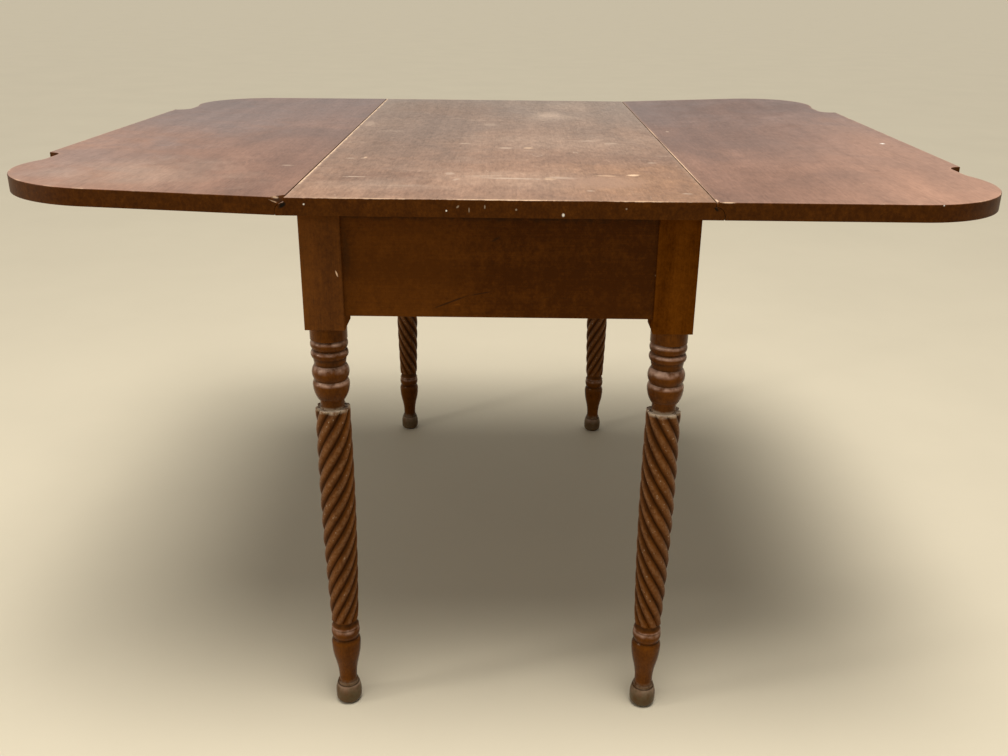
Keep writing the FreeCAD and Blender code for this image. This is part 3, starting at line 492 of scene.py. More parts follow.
JOINT_GAP = on_end("gap", 1.0, (-0.2488, 0.7280), (0.0078, 0.0036), 0.6, JOINT_DEPTH)
TOP_MARKS = (
    on_top("top_worn", 1.0, (-0.184, -0.381), (0.024, 0.0034)),
    on_top("top_worn", 0.9, (0.014, -0.382), (0.062, 0.0062), 0.06),
    on_top("top_worn", 0.6, (-0.056, -0.392), (0.005, 0.013), 0.4),
    on_top("top_worn", 0.6, (0.078, -0.374), (0.030, 0.012), 0.2),
    on_top("top_worn", 0.5, (-0.020, -0.366), (0.040, 0.006), -0.1),
    on_top("bare_wood", 0.5, (0.136, -0.356), (0.020, 0.0045), 0.1),
    on_top("top_dark", 0.8, (0.151, -0.349), (0.016, 0.003), 0.2),
    on_top("bare_wood", 0.8, (0.171, -0.350), (0.013, 0.009), -0.5),
    on_top("top_worn", 0.6, (0.108, -0.457), (0.007, 0.006)),
    on_top("top_worn", 0.5, (0.222, -0.468), (0.009, 0.007)),
    on_top("top_worn", 0.6, (-0.193, -0.239), (0.005, 0.005)),
    on_top("top_light", 0.6, (0.130, -0.400), (0.080, 0.060)),
    on_top("top_worn", 0.35, (-0.231, 0.120), (0.013, 0.050), -0.1),
    on_top("top_dark", 0.5, (-0.173, 0.203), (0.006, 0.012)),
    on_top("top_worn", 0.5, (-0.183, 0.033), (0.034, 0.006), -0.1),
    on_top("bare_wood", 0.5, (-0.191, -0.233), (0.0035, 0.009)),
    on_top("top_worn", 0.6, (-0.211, -0.241), (0.010, 0.006)),
    on_top("top_dark", 0.6, (-0.151, -0.245), (0.006, 0.008), 0.3),
    on_top("top_dark", 0.5, (-0.096, -0.215), (0.018, 0.005)),
    on_top("top_worn", 0.6, (-0.057, -0.094), (0.014, 0.008)),
    on_top("top_worn", 0.7, (0.005, -0.134), (0.016, 0.012)),
    on_top("bare_wood", 0.35, (0.039, -0.132), (0.010, 0.015)),
    on_top("top_dark", 0.5, (0.112, -0.040), (0.024, 0.005), -0.2),
    on_top("top_worn", 0.6, (0.135, -0.054), (0.024, 0.009), -0.2),
    on_top("top_worn", 0.5, (0.168, -0.078), (0.015, 0.012)),
    on_top("bare_wood", 0.3, (0.062, -0.383), (0.013, 0.012), 0.2),
    on_top("top_worn", 0.6, (-0.066, -0.352), (0.010, 0.014)),
    on_top("top_worn", 0.5, (0.078, 0.257), (0.022, 0.040)),
    on_top("top_worn", 0.35, (-0.023, 0.125), (0.018, 0.026)),
    on_top("top_worn", 0.6, (0.208, -0.253), (0.009, 0.007)),
    on_end("bare_wood", 0.6, (-0.150, TABLE_HEIGHT), (0.105, 0.0013), depth=LINE_DEPTH),
    on_end("bare_wood", 0.9, (0.010, TABLE_HEIGHT), (0.120, 0.0013), depth=LINE_DEPTH),
    on_end("bare_wood", 0.65, (0.170, TABLE_HEIGHT), (0.080, 0.0013), depth=LINE_DEPTH),
    on_end("filler", 1.0, (-0.224, 0.7293), (0.0016, 0.0016)),
    on_end("filler", 1.0, (-0.061, 0.7237), (0.0015, 0.0015)),
    on_end("dust", 0.5, (-0.048, 0.7283), (0.0026, 0.0014), 0.7),
    on_end("dust", 0.45, (-0.035, 0.7249), (0.0012, 0.0046)),
    on_end("dust", 0.5, (-0.017, 0.7286), (0.0012, 0.0030)),
    on_end("dust", 0.5, (0.019, 0.7257), (0.0016, 0.0018)),
    on_end("filler", 1.0, (0.073, 0.7203), (0.0024, 0.0028)),
    on_end("dust", 0.4, (0.145, 0.7281), (0.0015, 0.0015)),
    JOINT_GAP,
    on_end("gap", 0.9, (0.2475, 0.7290), (0.0040, 0.0022), -0.8, JOINT_DEPTH),
)
# Face of the left leaf's broken corner
CHIP_FACE = -0.5125
LEAF_MARKS = (
    on_top("filler", 1.0, (0.586, -0.082), (0.0058, 0.0074), depth=LEAF_DEPTH),
    on_top("leaf_worn", 1.0, (0.548, 0.112), (0.0030, 0.0040), depth=LEAF_DEPTH),
    on_top("top_worn", 0.6, (0.275, 0.058), (0.0040, 0.0100), depth=LEAF_DEPTH),
    on_top("top_worn", 0.4, (-0.285, -0.310), (0.0120, 0.0080), depth=LEAF_DEPTH),
    on_end("filler", 1.0, (0.507, 0.7357), (0.0018, 0.0018)),
    on_top("edge_dark", 0.35, (0.592, -0.105), (0.006, 0.005), depth=LEAF_DEPTH),
    on_end("grime", 0.85, (-0.2525, 0.7335), (0.012, 0.0052), depth=JOINT_DEPTH, face=CHIP_FACE),
    on_end("gap", 0.9, (0.2535, 0.7265), (0.0055, 0.0026), -0.9, JOINT_DEPTH),
    on_end("dust", 0.35, (0.2500, 0.7235), (0.0012, 0.0030), 0.5, JOINT_DEPTH),
    on_top("bare_wood", 0.9, (-0.2525, -0.5095), (0.0130, 0.0030), -0.44, ARRIS_DEPTH),
    on_end("bare_wood", 0.5, (-0.2590, 0.7325), (0.0075, 0.0010), -0.4, JOINT_DEPTH),
    on_top("bare_wood", 0.9, (0.2490, -0.5060), (0.0022, 0.0110), depth=ARRIS_DEPTH),
    on_top("bare_wood", 0.8, (0.2484, -0.2400), (0.0013, 0.2400), depth=ARRIS_DEPTH),
    on_top("bare_wood", 0.6, (0.2486, 0.0500), (0.0018, 0.0900), depth=ARRIS_DEPTH),
    on_end("bare_wood", 0.7, (0.2600, TABLE_HEIGHT), (0.0130, 0.002), depth=0.0025),
    JOINT_GAP,
)
# Dark rings all round each leg, in the groove under the flare and in the groove of the foot: painted shade,
# in the grime colour
LEG_MARKS = (
    all_round("grime", 0.8, FLARE_FOOT, 0.0009),
    all_round("grime", 0.7, FOOT_GROOVE, 0.0007),
)
# Painted light on the left post: a faint pale haze in the dust colour, as from the light on the left; and a
# scar on its front
POST_MARKS = (
    ("dust", 0.025, (-0.212, -0.4725, 0.650), (0.150, 0.150, 0.5), FLAT),
    on_end("bare_wood", 1.0, (-0.1938, 0.643), (0.0012, 0.0052), 0.3, STROKE_DEPTH, POST_FACE),
)
APRON_MARKS = (
    on_end("frame_light", 0.25, (-0.120, 0.650), (0.150, 0.20), 0.0, SHADE_DEPTH, APRON_FACE),
    on_end("grime", 0.8, (-0.058, 0.6075), (0.036, 0.0016), 0.38, STROKE_DEPTH, APRON_FACE),
    on_end("grime", 0.7, (-0.021, 0.6185), (0.020, 0.0013), 0.2, STROKE_DEPTH, APRON_FACE),
    on_end("frame_light", 0.6, (-0.051, 0.604), (0.008, 0.0015), 0.15, STROKE_DEPTH, APRON_FACE),
    on_end("grime", 0.7, (-0.004, 0.6855), (0.0085, 0.0024), 0.5, STROKE_DEPTH, APRON_FACE),
    on_end("grime", 0.45, (-0.182, 0.665), (0.007, 0.040), 0.0, STROKE_DEPTH, APRON_FACE),
    # Painted shadow: a dark band along the top of the apron, under the overhang of the top board, in the
    # grime and gap colours
    on_end("grime", 0.85, (0.0, 0.717), (0.5, 0.014), 0.0, SHADE_DEPTH, APRON_FACE),
    on_end("gap", 0.5, (0.0, 0.719), (0.5, 0.007), 0.0, SHADE_DEPTH, APRON_FACE),
)

# Large patches on the boards, each with its colour, share, centre and half size across and along
TOP_PATCHES = (
    ("top_light", 0.40, (0.060, -0.470), (0.30, 0.20)),
    ("top_glare", 0.45, (-0.160, -0.100), (0.14, 0.26)),
    ("top_dark", 0.40, (-0.160, -0.120), (0.12, 0.24)),
    ("top_worn", 0.22, (0.100, -0.080), (0.14, 0.12)),
    ("top_worn", 0.22, (0.020, -0.390), (0.18, 0.08)),
    ("raw_wood", 0.45, (0.190, -0.430), (0.13, 0.18)),
    ("top_worn", 0.45, (0.085, 0.255), (0.045, 0.085)),
    ("top_worn", 0.25, (0.130, 0.420), (0.04, 0.11)),
    ("top_dark", 0.30, (-0.110, 0.300), (0.15, 0.24)),
    ("top_worn", 0.15, (-0.170, -0.420), (0.09, 0.09)),
)
LEAF_PATCHES = (
    ("leaf_dark", 0.50, (0.430, 0.360), (0.20, 0.20)),
    ("leaf_dark", 0.40, (0.330, -0.420), (0.13, 0.18)),
    ("leaf_dark", 0.35, (0.380, 0.050), (0.17, 0.22)),
    ("leaf_glare", 0.50, (-0.500, 0.140), (0.15, 0.25)),
    ("leaf_glare", 0.45, (-0.560, -0.310), (0.12, 0.20)),
    ("top_worn", 0.30, (-0.440, -0.400), (0.12, 0.12)),
    ("leaf_worn", 0.25, (0.490, -0.450), (0.16, 0.12)),
    ("leaf_worn", 0.30, (0.580, -0.020), (0.06, 0.25)),
)
# Half height of a patch, more than a board is thick
PATCH_HEIGHT = 1.0

# Finish of the top and of the leaves: their colours, how strongly each effect shows, and an offset that keeps
# the clouds of the leaves apart from those of the top
BOARD_SHARES = {"fibre": 0.3, "figure": 0.1, "pores": 0.12, "fleck": 0.5}
TOP_BOARD = {
    "tones": ("top_dark", "top_light", "top_worn", "top_glare"),
    "shares": {**BOARD_SHARES, "cloud": 0.5, "mottle": 0.75, "speck": 0.7, "glare": 0.8, "stain": 0.35,
               "streak": 0.3, "scratch": 0.6, "outer_glare": 0.0},
    "offset": FLAT,
    "patches": TOP_PATCHES,
    "marks": TOP_MARKS,
}
LEAF_BOARD = {
    "tones": ("leaf_dark", "leaf_light", "leaf_worn", "leaf_glare"),
    "shares": {**BOARD_SHARES, "cloud": 0.5, "mottle": 0.42, "speck": 0.55, "glare": 0.65, "stain": 0.2,
               "streak": 0.1, "scratch": 0.25, "outer_glare": 0.55},
    "offset": (3.0, 1.7, 0.0),
    "patches": LEAF_PATCHES,
    "marks": LEAF_MARKS,
}
# How strongly each effect shows on the frame; the grime in the hollows is partly painted shade, the crests
# partly painted highlight
FRAME_SHARES = {"figure": 0.4, "fibre": 0.4, "mottle": 0.8, "speck": 0.7, "stain": 0.5, "pores": 0.3,
                "scratch": 0.25, "grime": 0.65, "rubbed": 0.12, "crest": 0.5, "painted_glint": 0.6, "fleck": 0.6}


# Materials

WARM_SHEEN = (1.0, 0.8, 0.58, 1.0)
GRAIN_TURNS = {"x": (0.0, 0.0, math.pi / 2), "y": FLAT, "z": (math.pi / 2, 0.0, 0.0)}
BUMP_STRENGTH = 0.35
# Depth of the bump in polished wood, raw wood and iron
POLISH_RELIEF = 0.0003
RAW_RELIEF = 0.0005
IRON_RELIEF = 0.0002
BOARD_GLOSS = 0.1
# Roughness of each finish, and what clouds, a raw side, dull parts, grime, fibres and rust add to it
BOARD_ROUGHNESS = 0.4
FRAME_ROUGHNESS = 0.11
RAW_ROUGHNESS = 0.55
IRON_ROUGHNESS = 0.42
BOARD_CLOUD_ROUGHNESS = 0.12
FRAME_CLOUD_ROUGHNESS = 0.06
RAW_SIDE_ROUGHNESS = 0.25
DULL_ROUGHNESS = 0.24
GRIME_ROUGHNESS = 0.25
FIBRE_ROUGHNESS = 0.2
RUST_ROUGHNESS = 0.35
# How far in from the arris the wear reaches on the boards and on the frame
BOARD_REACH = 0.46
FRAME_REACH = 0.35
# Distance from the seam at which the painted reflection on a leaf sets in
OUTER_GLARE_START = 0.05
# How the painted reflection, greyer towards the back, sets in along a board, in half lengths
GLARE_SPAN = (-0.9, 1.1)
# Height below a post over which its finish sets in
POST_BLEND = 0.004


def new_material(name):
    """New material, the wiring of its tree and its shader."""
    material = bpy.data.materials.new(name)
    material.use_nodes = True
    tree = material.node_tree
    return material, Wiring(tree), tree.nodes["Principled BSDF"]


def wood_place(wire, axis):
    """Object coordinates, and the grain of timber that runs along an axis."""
    place = wire.add("TexCoord").outputs["Object"]
    turned = wire.add("Mapping", {"Vector": place, "Rotation": GRAIN_TURNS[axis]}).outputs[0]
    return place, wire.group(grain_group(), Place=turned)


def finish(wire, shader, colour, roughness, height, depth):
    """Feeds the shader with a colour, a roughness and a bump."""
    bump = wire.add("Bump", {"Height": height, "Strength": BUMP_STRENGTH, "Distance": depth})
    wire.join(shader.inputs["Base Color"], colour)
    wire.join(shader.inputs["Roughness"], roughness)
    wire.join(shader.inputs["Normal"], bump.outputs[0])


def set_gloss(shader, gloss):
    """Sets how strongly a varnish reflects, with a warm tint."""
    shader.inputs["Specular IOR Level"].default_value = gloss
    shader.inputs["Specular Tint"].default_value = WARM_SHEEN


def add_marks(wire, place, colour, marks, colours):
    """Colour with the single marks of a piece laid over it."""
    for over, share, centre, half, turn in marks:
        mark = wire.group(mark_group(), Place=place, Centre=centre, Size=half, Turn=turn)["Mark"]
        colour = wire.lay(colour, getattr(colours, over), mark, share)
    return colour


def add_patches(wire, place, colour, patches, colours):
    """Colour with the large patches of a board laid over it."""
    for over, share, centre, half in patches:
        patch = wire.group(patch_group(), Place=place, Centre=(*centre, TABLE_HEIGHT),
                           Size=(*half, PATCH_HEIGHT))["Patch"]
        colour = wire.lay(colour, getattr(colours, over), patch, share)
    return colour


def polish_with_glare(wire, place, age, board, colours):
    """Polish of a board: clouds, painted reflection that makes it paler towards its outer front edge and
    greyer towards the back, and patches.
    """
    dark, light, worn, glare = (getattr(colours, name) for name in board["tones"])
    shares = board["shares"]
    colour = wire.mix(wire.sway(0.5, age["Cloud"], shares["cloud"]), opaque(dark), opaque(light))
    spot = wire.parts(place)
    # Painted reflection: paler towards the outer front of a leaf
    out = wire.step(wire.math("ABSOLUTE", spot["X"]), SEAM_X + OUTER_GLARE_START, LEAF_HIGH.x)
    outer_glare_mask = wire.times(out, wire.step(spot["Y"], HALF_LENGTH, -HALF_LENGTH))
    colour = wire.lay(colour, worn, outer_glare_mask, shares["outer_glare"])
    # Painted reflection: greyer towards the back
    far = wire.step(spot["Y"], *(share * HALF_LENGTH for share in GLARE_SPAN))
    colour = wire.lay(colour, glare, far, shares["glare"])
    colour = add_patches(wire, place, colour, board["patches"], colours)
    colour = wire.lay(colour, dark, age["Stain"], shares["stain"])
    return wire.lay(colour, worn, age["Streak"], shares["streak"])


def used_polish(wire, colour, grain, age, board, colours):
    """Polish with the fine texture of the wood and the marks of use on it."""
    worn = getattr(colours, board["tones"][2])
    shares = board["shares"]
    texture = 1.0
    for value, share in ((age["Mottle"], shares["mottle"]), (age["Speck"], shares["speck"]),
                         (grain["Fibre"], shares["fibre"]), (grain["Figure"], shares["figure"])):
        texture = wire.sway(texture, value, share)
    colour = wire.mix(1.0, colour, texture, "MULTIPLY")
    colour = wire.lay(colour, colours.grime, grain["Pores"], shares["pores"])
    colour = wire.lay(colour, worn, age["Scratch"], shares["scratch"])
    return wire.lay(colour, colours.bare_wood, age["Fleck"], shares["fleck"])


def edge_tone(wire, grain, age, colours):
    """Dark finish on the edges of a board."""
    uneven = wire.times(wire.math("ADD", age["Mottle"], age["Speck"]), 0.5)
    colour = wire.mix(wire.step(uneven, 0.28, 1.1), opaque(colours.edge_dark), opaque(colours.frame_light))
    return wire.lay(colour, colours.grime, grain["Pores"], 0.3)


def raw_tone(wire, grain, colours):
    """Wood without a finish."""
    light = wire.plus(wire.times(grain["Fibre"], 0.6), grain["Figure"], 0.3)
    return wire.mix(light, opaque(colours.edge_dark), opaque(colours.raw_wood))


def rubbed_arrises(wire, place, colour, above, board, colours):
    """Colour with worn arrises, which are rubbed through to the wood in places."""
    worn = getattr(colours, board["tones"][2])
    edge = wire.attribute("edge")
    rubbed = wire.group(wear_group(), Place=place, Edge=edge, Reach=BOARD_REACH)["Rubbed"]
    colour = wire.lay(colour, worn, wire.times(edge, above), 0.35)
    return wire.mix(wire.times(rubbed, wire.plus(0.25, above, 0.4)), colour, opaque(colours.bare_wood))


def board_material(name, board, colours):
    """Old finish on a board: faded and used polish on top, dark edges, rubbed arrises, raw underside."""
    material, wire, shader = new_material(name)
    place, grain = wood_place(wire, "y")
    age = wire.group(age_group(), Place=wire.vector("ADD", place, board["offset"]))
    facing = wire.facing()
    above = wire.step(facing, 0.55, 0.9)
    below = wire.step(facing, -0.55, -0.9)
    colour = polish_with_glare(wire, place, age, board, colours)
    colour = used_polish(wire, colour, grain, age, board, colours)
    colour = wire.mix(above, edge_tone(wire, grain, age, colours), colour)
    colour = add_marks(wire, place, colour, board["marks"], colours)
    colour = wire.mix(below, colour, raw_tone(wire, grain, colours))
    colour = rubbed_arrises(wire, place, colour, above, board, colours)
    set_gloss(shader, BOARD_GLOSS)
    roughness = wire.plus(BOARD_ROUGHNESS, age["Cloud"], BOARD_CLOUD_ROUGHNESS)
    roughness = wire.plus(roughness, below, RAW_SIDE_ROUGHNESS)
    finish(wire, shader, colour, roughness, wire.plus(grain["Fibre"], grain["Pores"], -0.6), POLISH_RELIEF)
    return material


def dark_polish(wire, place, grain, age, grime, shade, colours):
    """Dark satin polish with grime in the hollows that is partly painted shade, rubbed arrises, rubbed crests
    that are partly painted highlight, and painted glints.
    """
    shares = FRAME_SHARES
    light = 0.5 - shade
    for value, share in ((grain["Figure"], shares["figure"]), (grain["Fibre"], shares["fibre"]),
                         (age["Mottle"], shares["mottle"]), (age["Speck"], shares["speck"])):
        light = wire.sway(light, value, share)
    colour = wire.mix(light, opaque(colours.frame_dark), opaque(colours.frame_light))
    rubbed = wire.group(wear_group(), Place=place, Edge=wire.attribute("edge"), Reach=FRAME_REACH)["Rubbed"]
    # Pale rubbed crests of the twist, partly painted highlight
    uneven = wire.step(wire.noise(place, scale=260.0, detail=4.0, roughness=0.6), 0.2, 0.75)
    crest = wire.times(wire.attribute("crest"), uneven)
    # Painted glints: sparse pale specks on the crests, in the dust colour
    painted_glint = wire.step(wire.noise(place, scale=330.0, detail=2.0), 0.66, 0.72)
    layers = (
        (colours.frame_dark, age["Stain"], shares["stain"]),
        (colours.grime, grain["Pores"], shares["pores"]),
        (colours.grime, age["Scratch"], shares["scratch"]),
        (colours.grime, grime, shares["grime"]),
        (colours.bare_wood, rubbed, shares["rubbed"]),
        (colours.crest, crest, shares["crest"]),
        (colours.dust, wire.times(painted_glint, wire.step(crest, 0.1, 0.4)), shares["painted_glint"]),
        (colours.bare_wood, wire.times(age["Fleck"], wire.step(grime, 0.3, 0.0)), shares["fleck"]),
    )
    for over, mask, share in layers:
        colour = wire.lay(colour, over, mask, share)
    return colour


def dirt_and_painted_highlight(wire, place, colour, height, age, dull, colours):
    """Colour with dirt on the feet, and a painted highlight on the upper sides of the beads, partly rubbed
    polish.
    """
    low = wire.step(height, 1.15 * FOOT_TOP, 0.75 * FOOT_TOP)
    dirty = wire.times(low, wire.plus(0.5, wire.step(age["Mottle"], 0.3, 0.7), 0.45))
    colour = wire.mix(dirty, colour, opaque(colours.dirt))
    vase = wire.band(height, FOOT_RING, COLLAR_FOOT, 0.95)
    beads = wire.math("SUBTRACT", 1.0, wire.math("ADD", dull, vase))
    # Painted highlight: pale colour on the upward sides of the beads and collar, less on the feet
    facing = wire.facing()
    upward = wire.times(wire.step(facing, 0.0, 0.45), wire.step(facing, 0.95, 0.45))
    uneven = wire.step(wire.noise(place, scale=90.0), 0.25, 0.75)
    highlight_mask = wire.times(wire.times(upward, beads), uneven)
    return wire.mix(wire.times(highlight_mask, wire.plus(0.75, low, -0.4)), colour, opaque(colours.rub_and_highlight))


def dusty(wire, place, colour, height, colours):
    """Colour with dust on the ledges and at the upper end of the twist."""
    rim = wire.times(wire.near(height, TWIST_TOP, RIM_DROP, 0.0), 0.9)
    dust = wire.math("MAXIMUM", wire.attribute("dust"), rim)
    uneven = wire.step(wire.noise(place, scale=120.0), 0.3, 0.6)
    return wire.lay(colour, colours.dust, wire.times(dust, uneven), 0.8)


def frame_material(name, axis, gloss, shade, marks, colours):
    """Dark satin finish on the legs, aprons and rails, glossier on the turned parts beside the twist."""
    if name in bpy.data.materials:
        return bpy.data.materials[name]
    material, wire, shader = new_material(name)
    place, grain = wood_place(wire, axis)
    age = wire.group(age_group(), Place=place)
    # Grime in the hollows of the turnings, partly painted shade
    grime = wire.group(grime_and_shade_group(), Place=place, Hollow=wire.attribute("hollow"))["Grime"]
    height = wire.parts(place)["Z"]
    carved = wire.band(height, FLARE_FOOT, TWIST_TOP, 0.98)
    dull = wire.math("ADD", carved, wire.step(height, POST_FOOT - POST_BLEND, POST_FOOT))
    colour = dark_polish(wire, place, grain, age, grime, shade, colours)
    colour = dirt_and_painted_highlight(wire, place, colour, height, age, dull, colours)
    colour = dusty(wire, place, colour, height, colours)
    colour = add_marks(wire, place, colour, marks, colours)
    set_gloss(shader, gloss)
    roughness = wire.plus(FRAME_ROUGHNESS, age["Cloud"], FRAME_CLOUD_ROUGHNESS)
    roughness = wire.plus(roughness, dull, DULL_ROUGHNESS)
    roughness = wire.plus(roughness, grime, GRIME_ROUGHNESS)
    relief = wire.plus(grain["Fibre"], grain["Pores"], -0.5)
    relief = wire.plus(relief, wire.noise(place, scale=90.0, detail=2.0), 3.0)
    finish(wire, shader, colour, roughness, relief, POLISH_RELIEF)
    return material


def rail_material(colours):
    """Finish of the outer rails and of the flies."""
    return frame_material("Rail finish", axis="y", gloss=0.08, shade=0.1, marks=(), colours=colours)


def raw_material(name, axis, colours):
    """Dull unfinished wood of the pieces inside the frame."""
    material, wire, shader = new_material(name)
    place, grain = wood_place(wire, axis)
    age = wire.group(age_group(), Place=place)
    colour = raw_tone(wire, grain, colours)
    colour = wire.lay(colour, colours.edge_dark, age["Stain"], 0.5)
    colour = wire.lay(colour, colours.grime, grain["Pores"], 0.4)
    roughness = wire.plus(RAW_ROUGHNESS, grain["Fibre"], FIBRE_ROUGHNESS)
    finish(wire, shader, colour, roughness, grain["Fibre"], RAW_RELIEF)
    return material


def iron_material(name, colours, rust_share):
    """Dark old metal with rust in patches."""
    material, wire, shader = new_material(name)
    place = wire.add("TexCoord").outputs["Object"]
    patches = wire.noise(place, scale=90.0, detail=5.0, roughness=0.65, distortion=0.5)
    rust = wire.step(patches, 0.62 - 0.2 * rust_share, 0.78 - 0.2 * rust_share)
    pits = wire.noise(place, scale=900.0, roughness=0.6)
    colour = wire.mix(rust, opaque(colours.iron), opaque(colours.rust))
    wire.join(shader.inputs["Metallic"], wire.plus(0.9, rust, -0.8))
    roughness = wire.plus(IRON_ROUGHNESS, rust, RUST_ROUGHNESS)
    finish(wire, shader, colour, roughness, wire.math("ADD", pits, rust), IRON_RELIEF)
    return material


# Modelling

def start_from_node(name, node):
    """New piece with a merged copy of a node's mesh, alone selected and in edit mode."""
    bpy.ops.object.select_all(action="DESELECT")
    piece = bpy.data.objects.new(name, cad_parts[node].data.copy())
    piece.data.name = name
    piece.data.materials.clear()
    bpy.context.scene.collection.objects.link(piece)
    piece.select_set(True)
    bpy.context.view_layer.objects.active = piece
    bpy.ops.mesh.customdata_custom_splitnormals_clear()
    bpy.ops.object.mode_set(mode="EDIT")
    bpy.ops.mesh.select_mode(type="EDGE")
    bpy.ops.mesh.select_all(action="SELECT")
    bpy.ops.mesh.remove_doubles(threshold=MERGE_DISTANCE)
    return piece


def end_piece(piece, body, node, material, angle=BOARD_SMOOTHING):
    """Shades a piece, gives it its material and ties it to the frame."""
    bpy.ops.object.mode_set(mode="OBJECT")
    bpy.ops.object.shade_smooth_by_angle(angle=angle)
    piece.data.materials.append(material)
    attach(piece, body)
    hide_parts(node)


def flatten_faces():
    """Joins the triangles of each flat side into one face."""
    bpy.ops.mesh.select_all(action="SELECT")
    bpy.ops.mesh.dissolve_limited(angle_limit=FLAT_ANGLE)


def select_edges(piece, test):
    """Selects the sharp edges, in edit mode, whose middle passes a test."""
    bpy.ops.mesh.select_all(action="DESELECT")
    mesh = bmesh.from_edit_mesh(piece.data)
    for edge in mesh.edges:
        sharp = len(edge.link_faces) == 2 and edge.calc_face_angle() > SHARP_ANGLE
        edge.select_set(sharp and test((edge.verts[0].co + edge.verts[1].co) / 2))
    bmesh.update_edit_mesh(piece.data)


def select_faces(piece, test):
    """Selects the faces, in edit mode, whose centre and normal pass a test."""
    bpy.ops.mesh.select_mode(type="FACE")
    bpy.ops.mesh.select_all(action="DESELECT")
    mesh = bmesh.from_edit_mesh(piece.data)
    for face in mesh.faces:
        face.select_set(test(face.calc_center_median(), face.normal))
    bmesh.update_edit_mesh(piece.data)


def point_layer(mesh, name):
    """Layer of one value for each point of a mesh."""
    return mesh.verts.layers.float.get(name) or mesh.verts.layers.float.new(name)


def on_upper_side(point):
    """Whether a point lies on the upper side of the table."""
    return point.z > TABLE_HEIGHT - HAIR


def round_arrises(piece, radius, test, wear=1.0):
    """Rounds the sharp edges that pass a test, and marks how rubbed they and their border on top are."""
    select_edges(piece, test)
    bpy.ops.mesh.bevel(offset=radius, segments=ARRIS_SEGMENTS, profile=ROUND_PROFILE, affect="EDGES",
                       clamp_overlap=True)
    mesh = bmesh.from_edit_mesh(piece.data)
    layer = point_layer(mesh, "edge")
    for vert in mesh.verts:
        if not vert.select:
            continue
        rounds = sum(face.select for face in vert.link_faces)
        inside = rounds > len(vert.link_faces) - rounds
        vert[layer] = wear if inside else wear * BORDER_WEAR * on_upper_side(vert.co)
    bmesh.update_edit_mesh(piece.data)
    bpy.ops.mesh.region_to_loop()
    bpy.ops.mesh.mark_sharp()


def worn_band_inside(piece, width):
    """Inset ring on the top face, so that the wear fades out over its width."""
    select_faces(piece, lambda middle, normal: normal.z > LEVEL_FACING and on_upper_side(middle))
    bpy.ops.mesh.inset(thickness=width)
    mesh = bmesh.from_edit_mesh(piece.data)
    layer = point_layer(mesh, "edge")
    for vert in mesh.verts:
        if vert.select:
            vert[layer] = 0.0
    bmesh.update_edit_mesh(piece.data)


def wear_seams(piece, radius):
    """Sets how the arrises along both seams of the top are rubbed, less so at the front."""
    mesh = bmesh.from_edit_mesh(piece.data)
    layer = point_layer(mesh, "edge")
    for vert in mesh.verts:
        if abs(vert.co.x) < TOP_SEAM_X - ARRIS_WIDTH * radius:
            continue
        side = "left" if vert.co.x < 0 else "right"
        along = min((vert.co.y + HALF_LENGTH) / SEAM_FADE, 1.0)
        share = SEAM_END_SHARE + (1.0 - SEAM_END_SHARE) * along
        vert[layer] *= TOP_SEAM_WEAR[side] / TOP_WEAR * share
    bmesh.update_edit_mesh(piece.data)


def cut_evenly(axis, low, high, step):
    """Cuts a board by even planes across an axis, no further apart than a step."""
    count = math.ceil((high - low) / step)
    normal = Vector(FLAT)
    normal[axis] = 1.0
    for index in range(1, count):
        bpy.ops.mesh.select_all(action="SELECT")
        bpy.ops.mesh.bisect(plane_co=normal * (low + (high - low) * index / count), plane_no=normal)


def chip_corner(corner, size):
    """Breaks a corner off a board, as far along each axis as its size."""
    normal = Vector([1 / reach for reach in size])
    start = corner - Vector((size[0], 0.0, 0.0))
    bpy.ops.mesh.select_all(action="SELECT")
    bpy.ops.mesh.bisect(plane_co=start, plane_no=normal, use_fill=True, clear_outer=True)


def twist_leaf(piece, raises, shrinks):
    """Lifts a leaf away from its seam, differently at its two ends, and draws its outer edge in."""
    width = LEAF_HIGH.x - LEAF_LOW.x
    mesh = bmesh.from_edit_mesh(piece.data)
    for vert in mesh.verts:
        out = max(abs(vert.co.x) - SEAM_X, 0.0) / width
        along = (vert.co.y + HALF_LENGTH) / (2 * HALF_LENGTH)
        vert.co.z += out * (raises[0] + (raises[1] - raises[0]) * along)
        vert.co.x -= math.copysign(out, vert.co.x) * (shrinks[0] + (shrinks[1] - shrinks[0]) * along)
    bmesh.update_edit_mesh(piece.data)


def mark_hollows(piece, centre, top):
    """Marks how deep the points of a turning lie below the widest one near their height, and its crests."""
    mesh = bmesh.from_edit_mesh(piece.data)
    hollow = point_layer(mesh, "hollow")
    crest = point_layer(mesh, "crest")
    reaches = {}
    rows = {}
    for vert in mesh.verts:
        if vert.co.z > top:
            continue
        row = round(vert.co.z / ROW_HEIGHT)
        reaches[vert] = (row, (vert.co.xy - centre).length)
        rows[row] = max(rows.get(row, 0.0), reaches[vert][1])
    for vert, (row, reach) in reaches.items():
        widest = max(rows.get(row + step, 0.0) for step in range(-ROW_REACH, ROW_REACH + 1))
        vert[hollow] = min((widest - reach) / HOLLOW_DEPTH, 1.0)
        if TWIST_BOTTOM < vert.co.z < TWIST_TOP:
            vert[crest] = max(1.0 - CREST_SHARPNESS * vert[hollow], 0.0)
    bmesh.update_edit_mesh(piece.data)


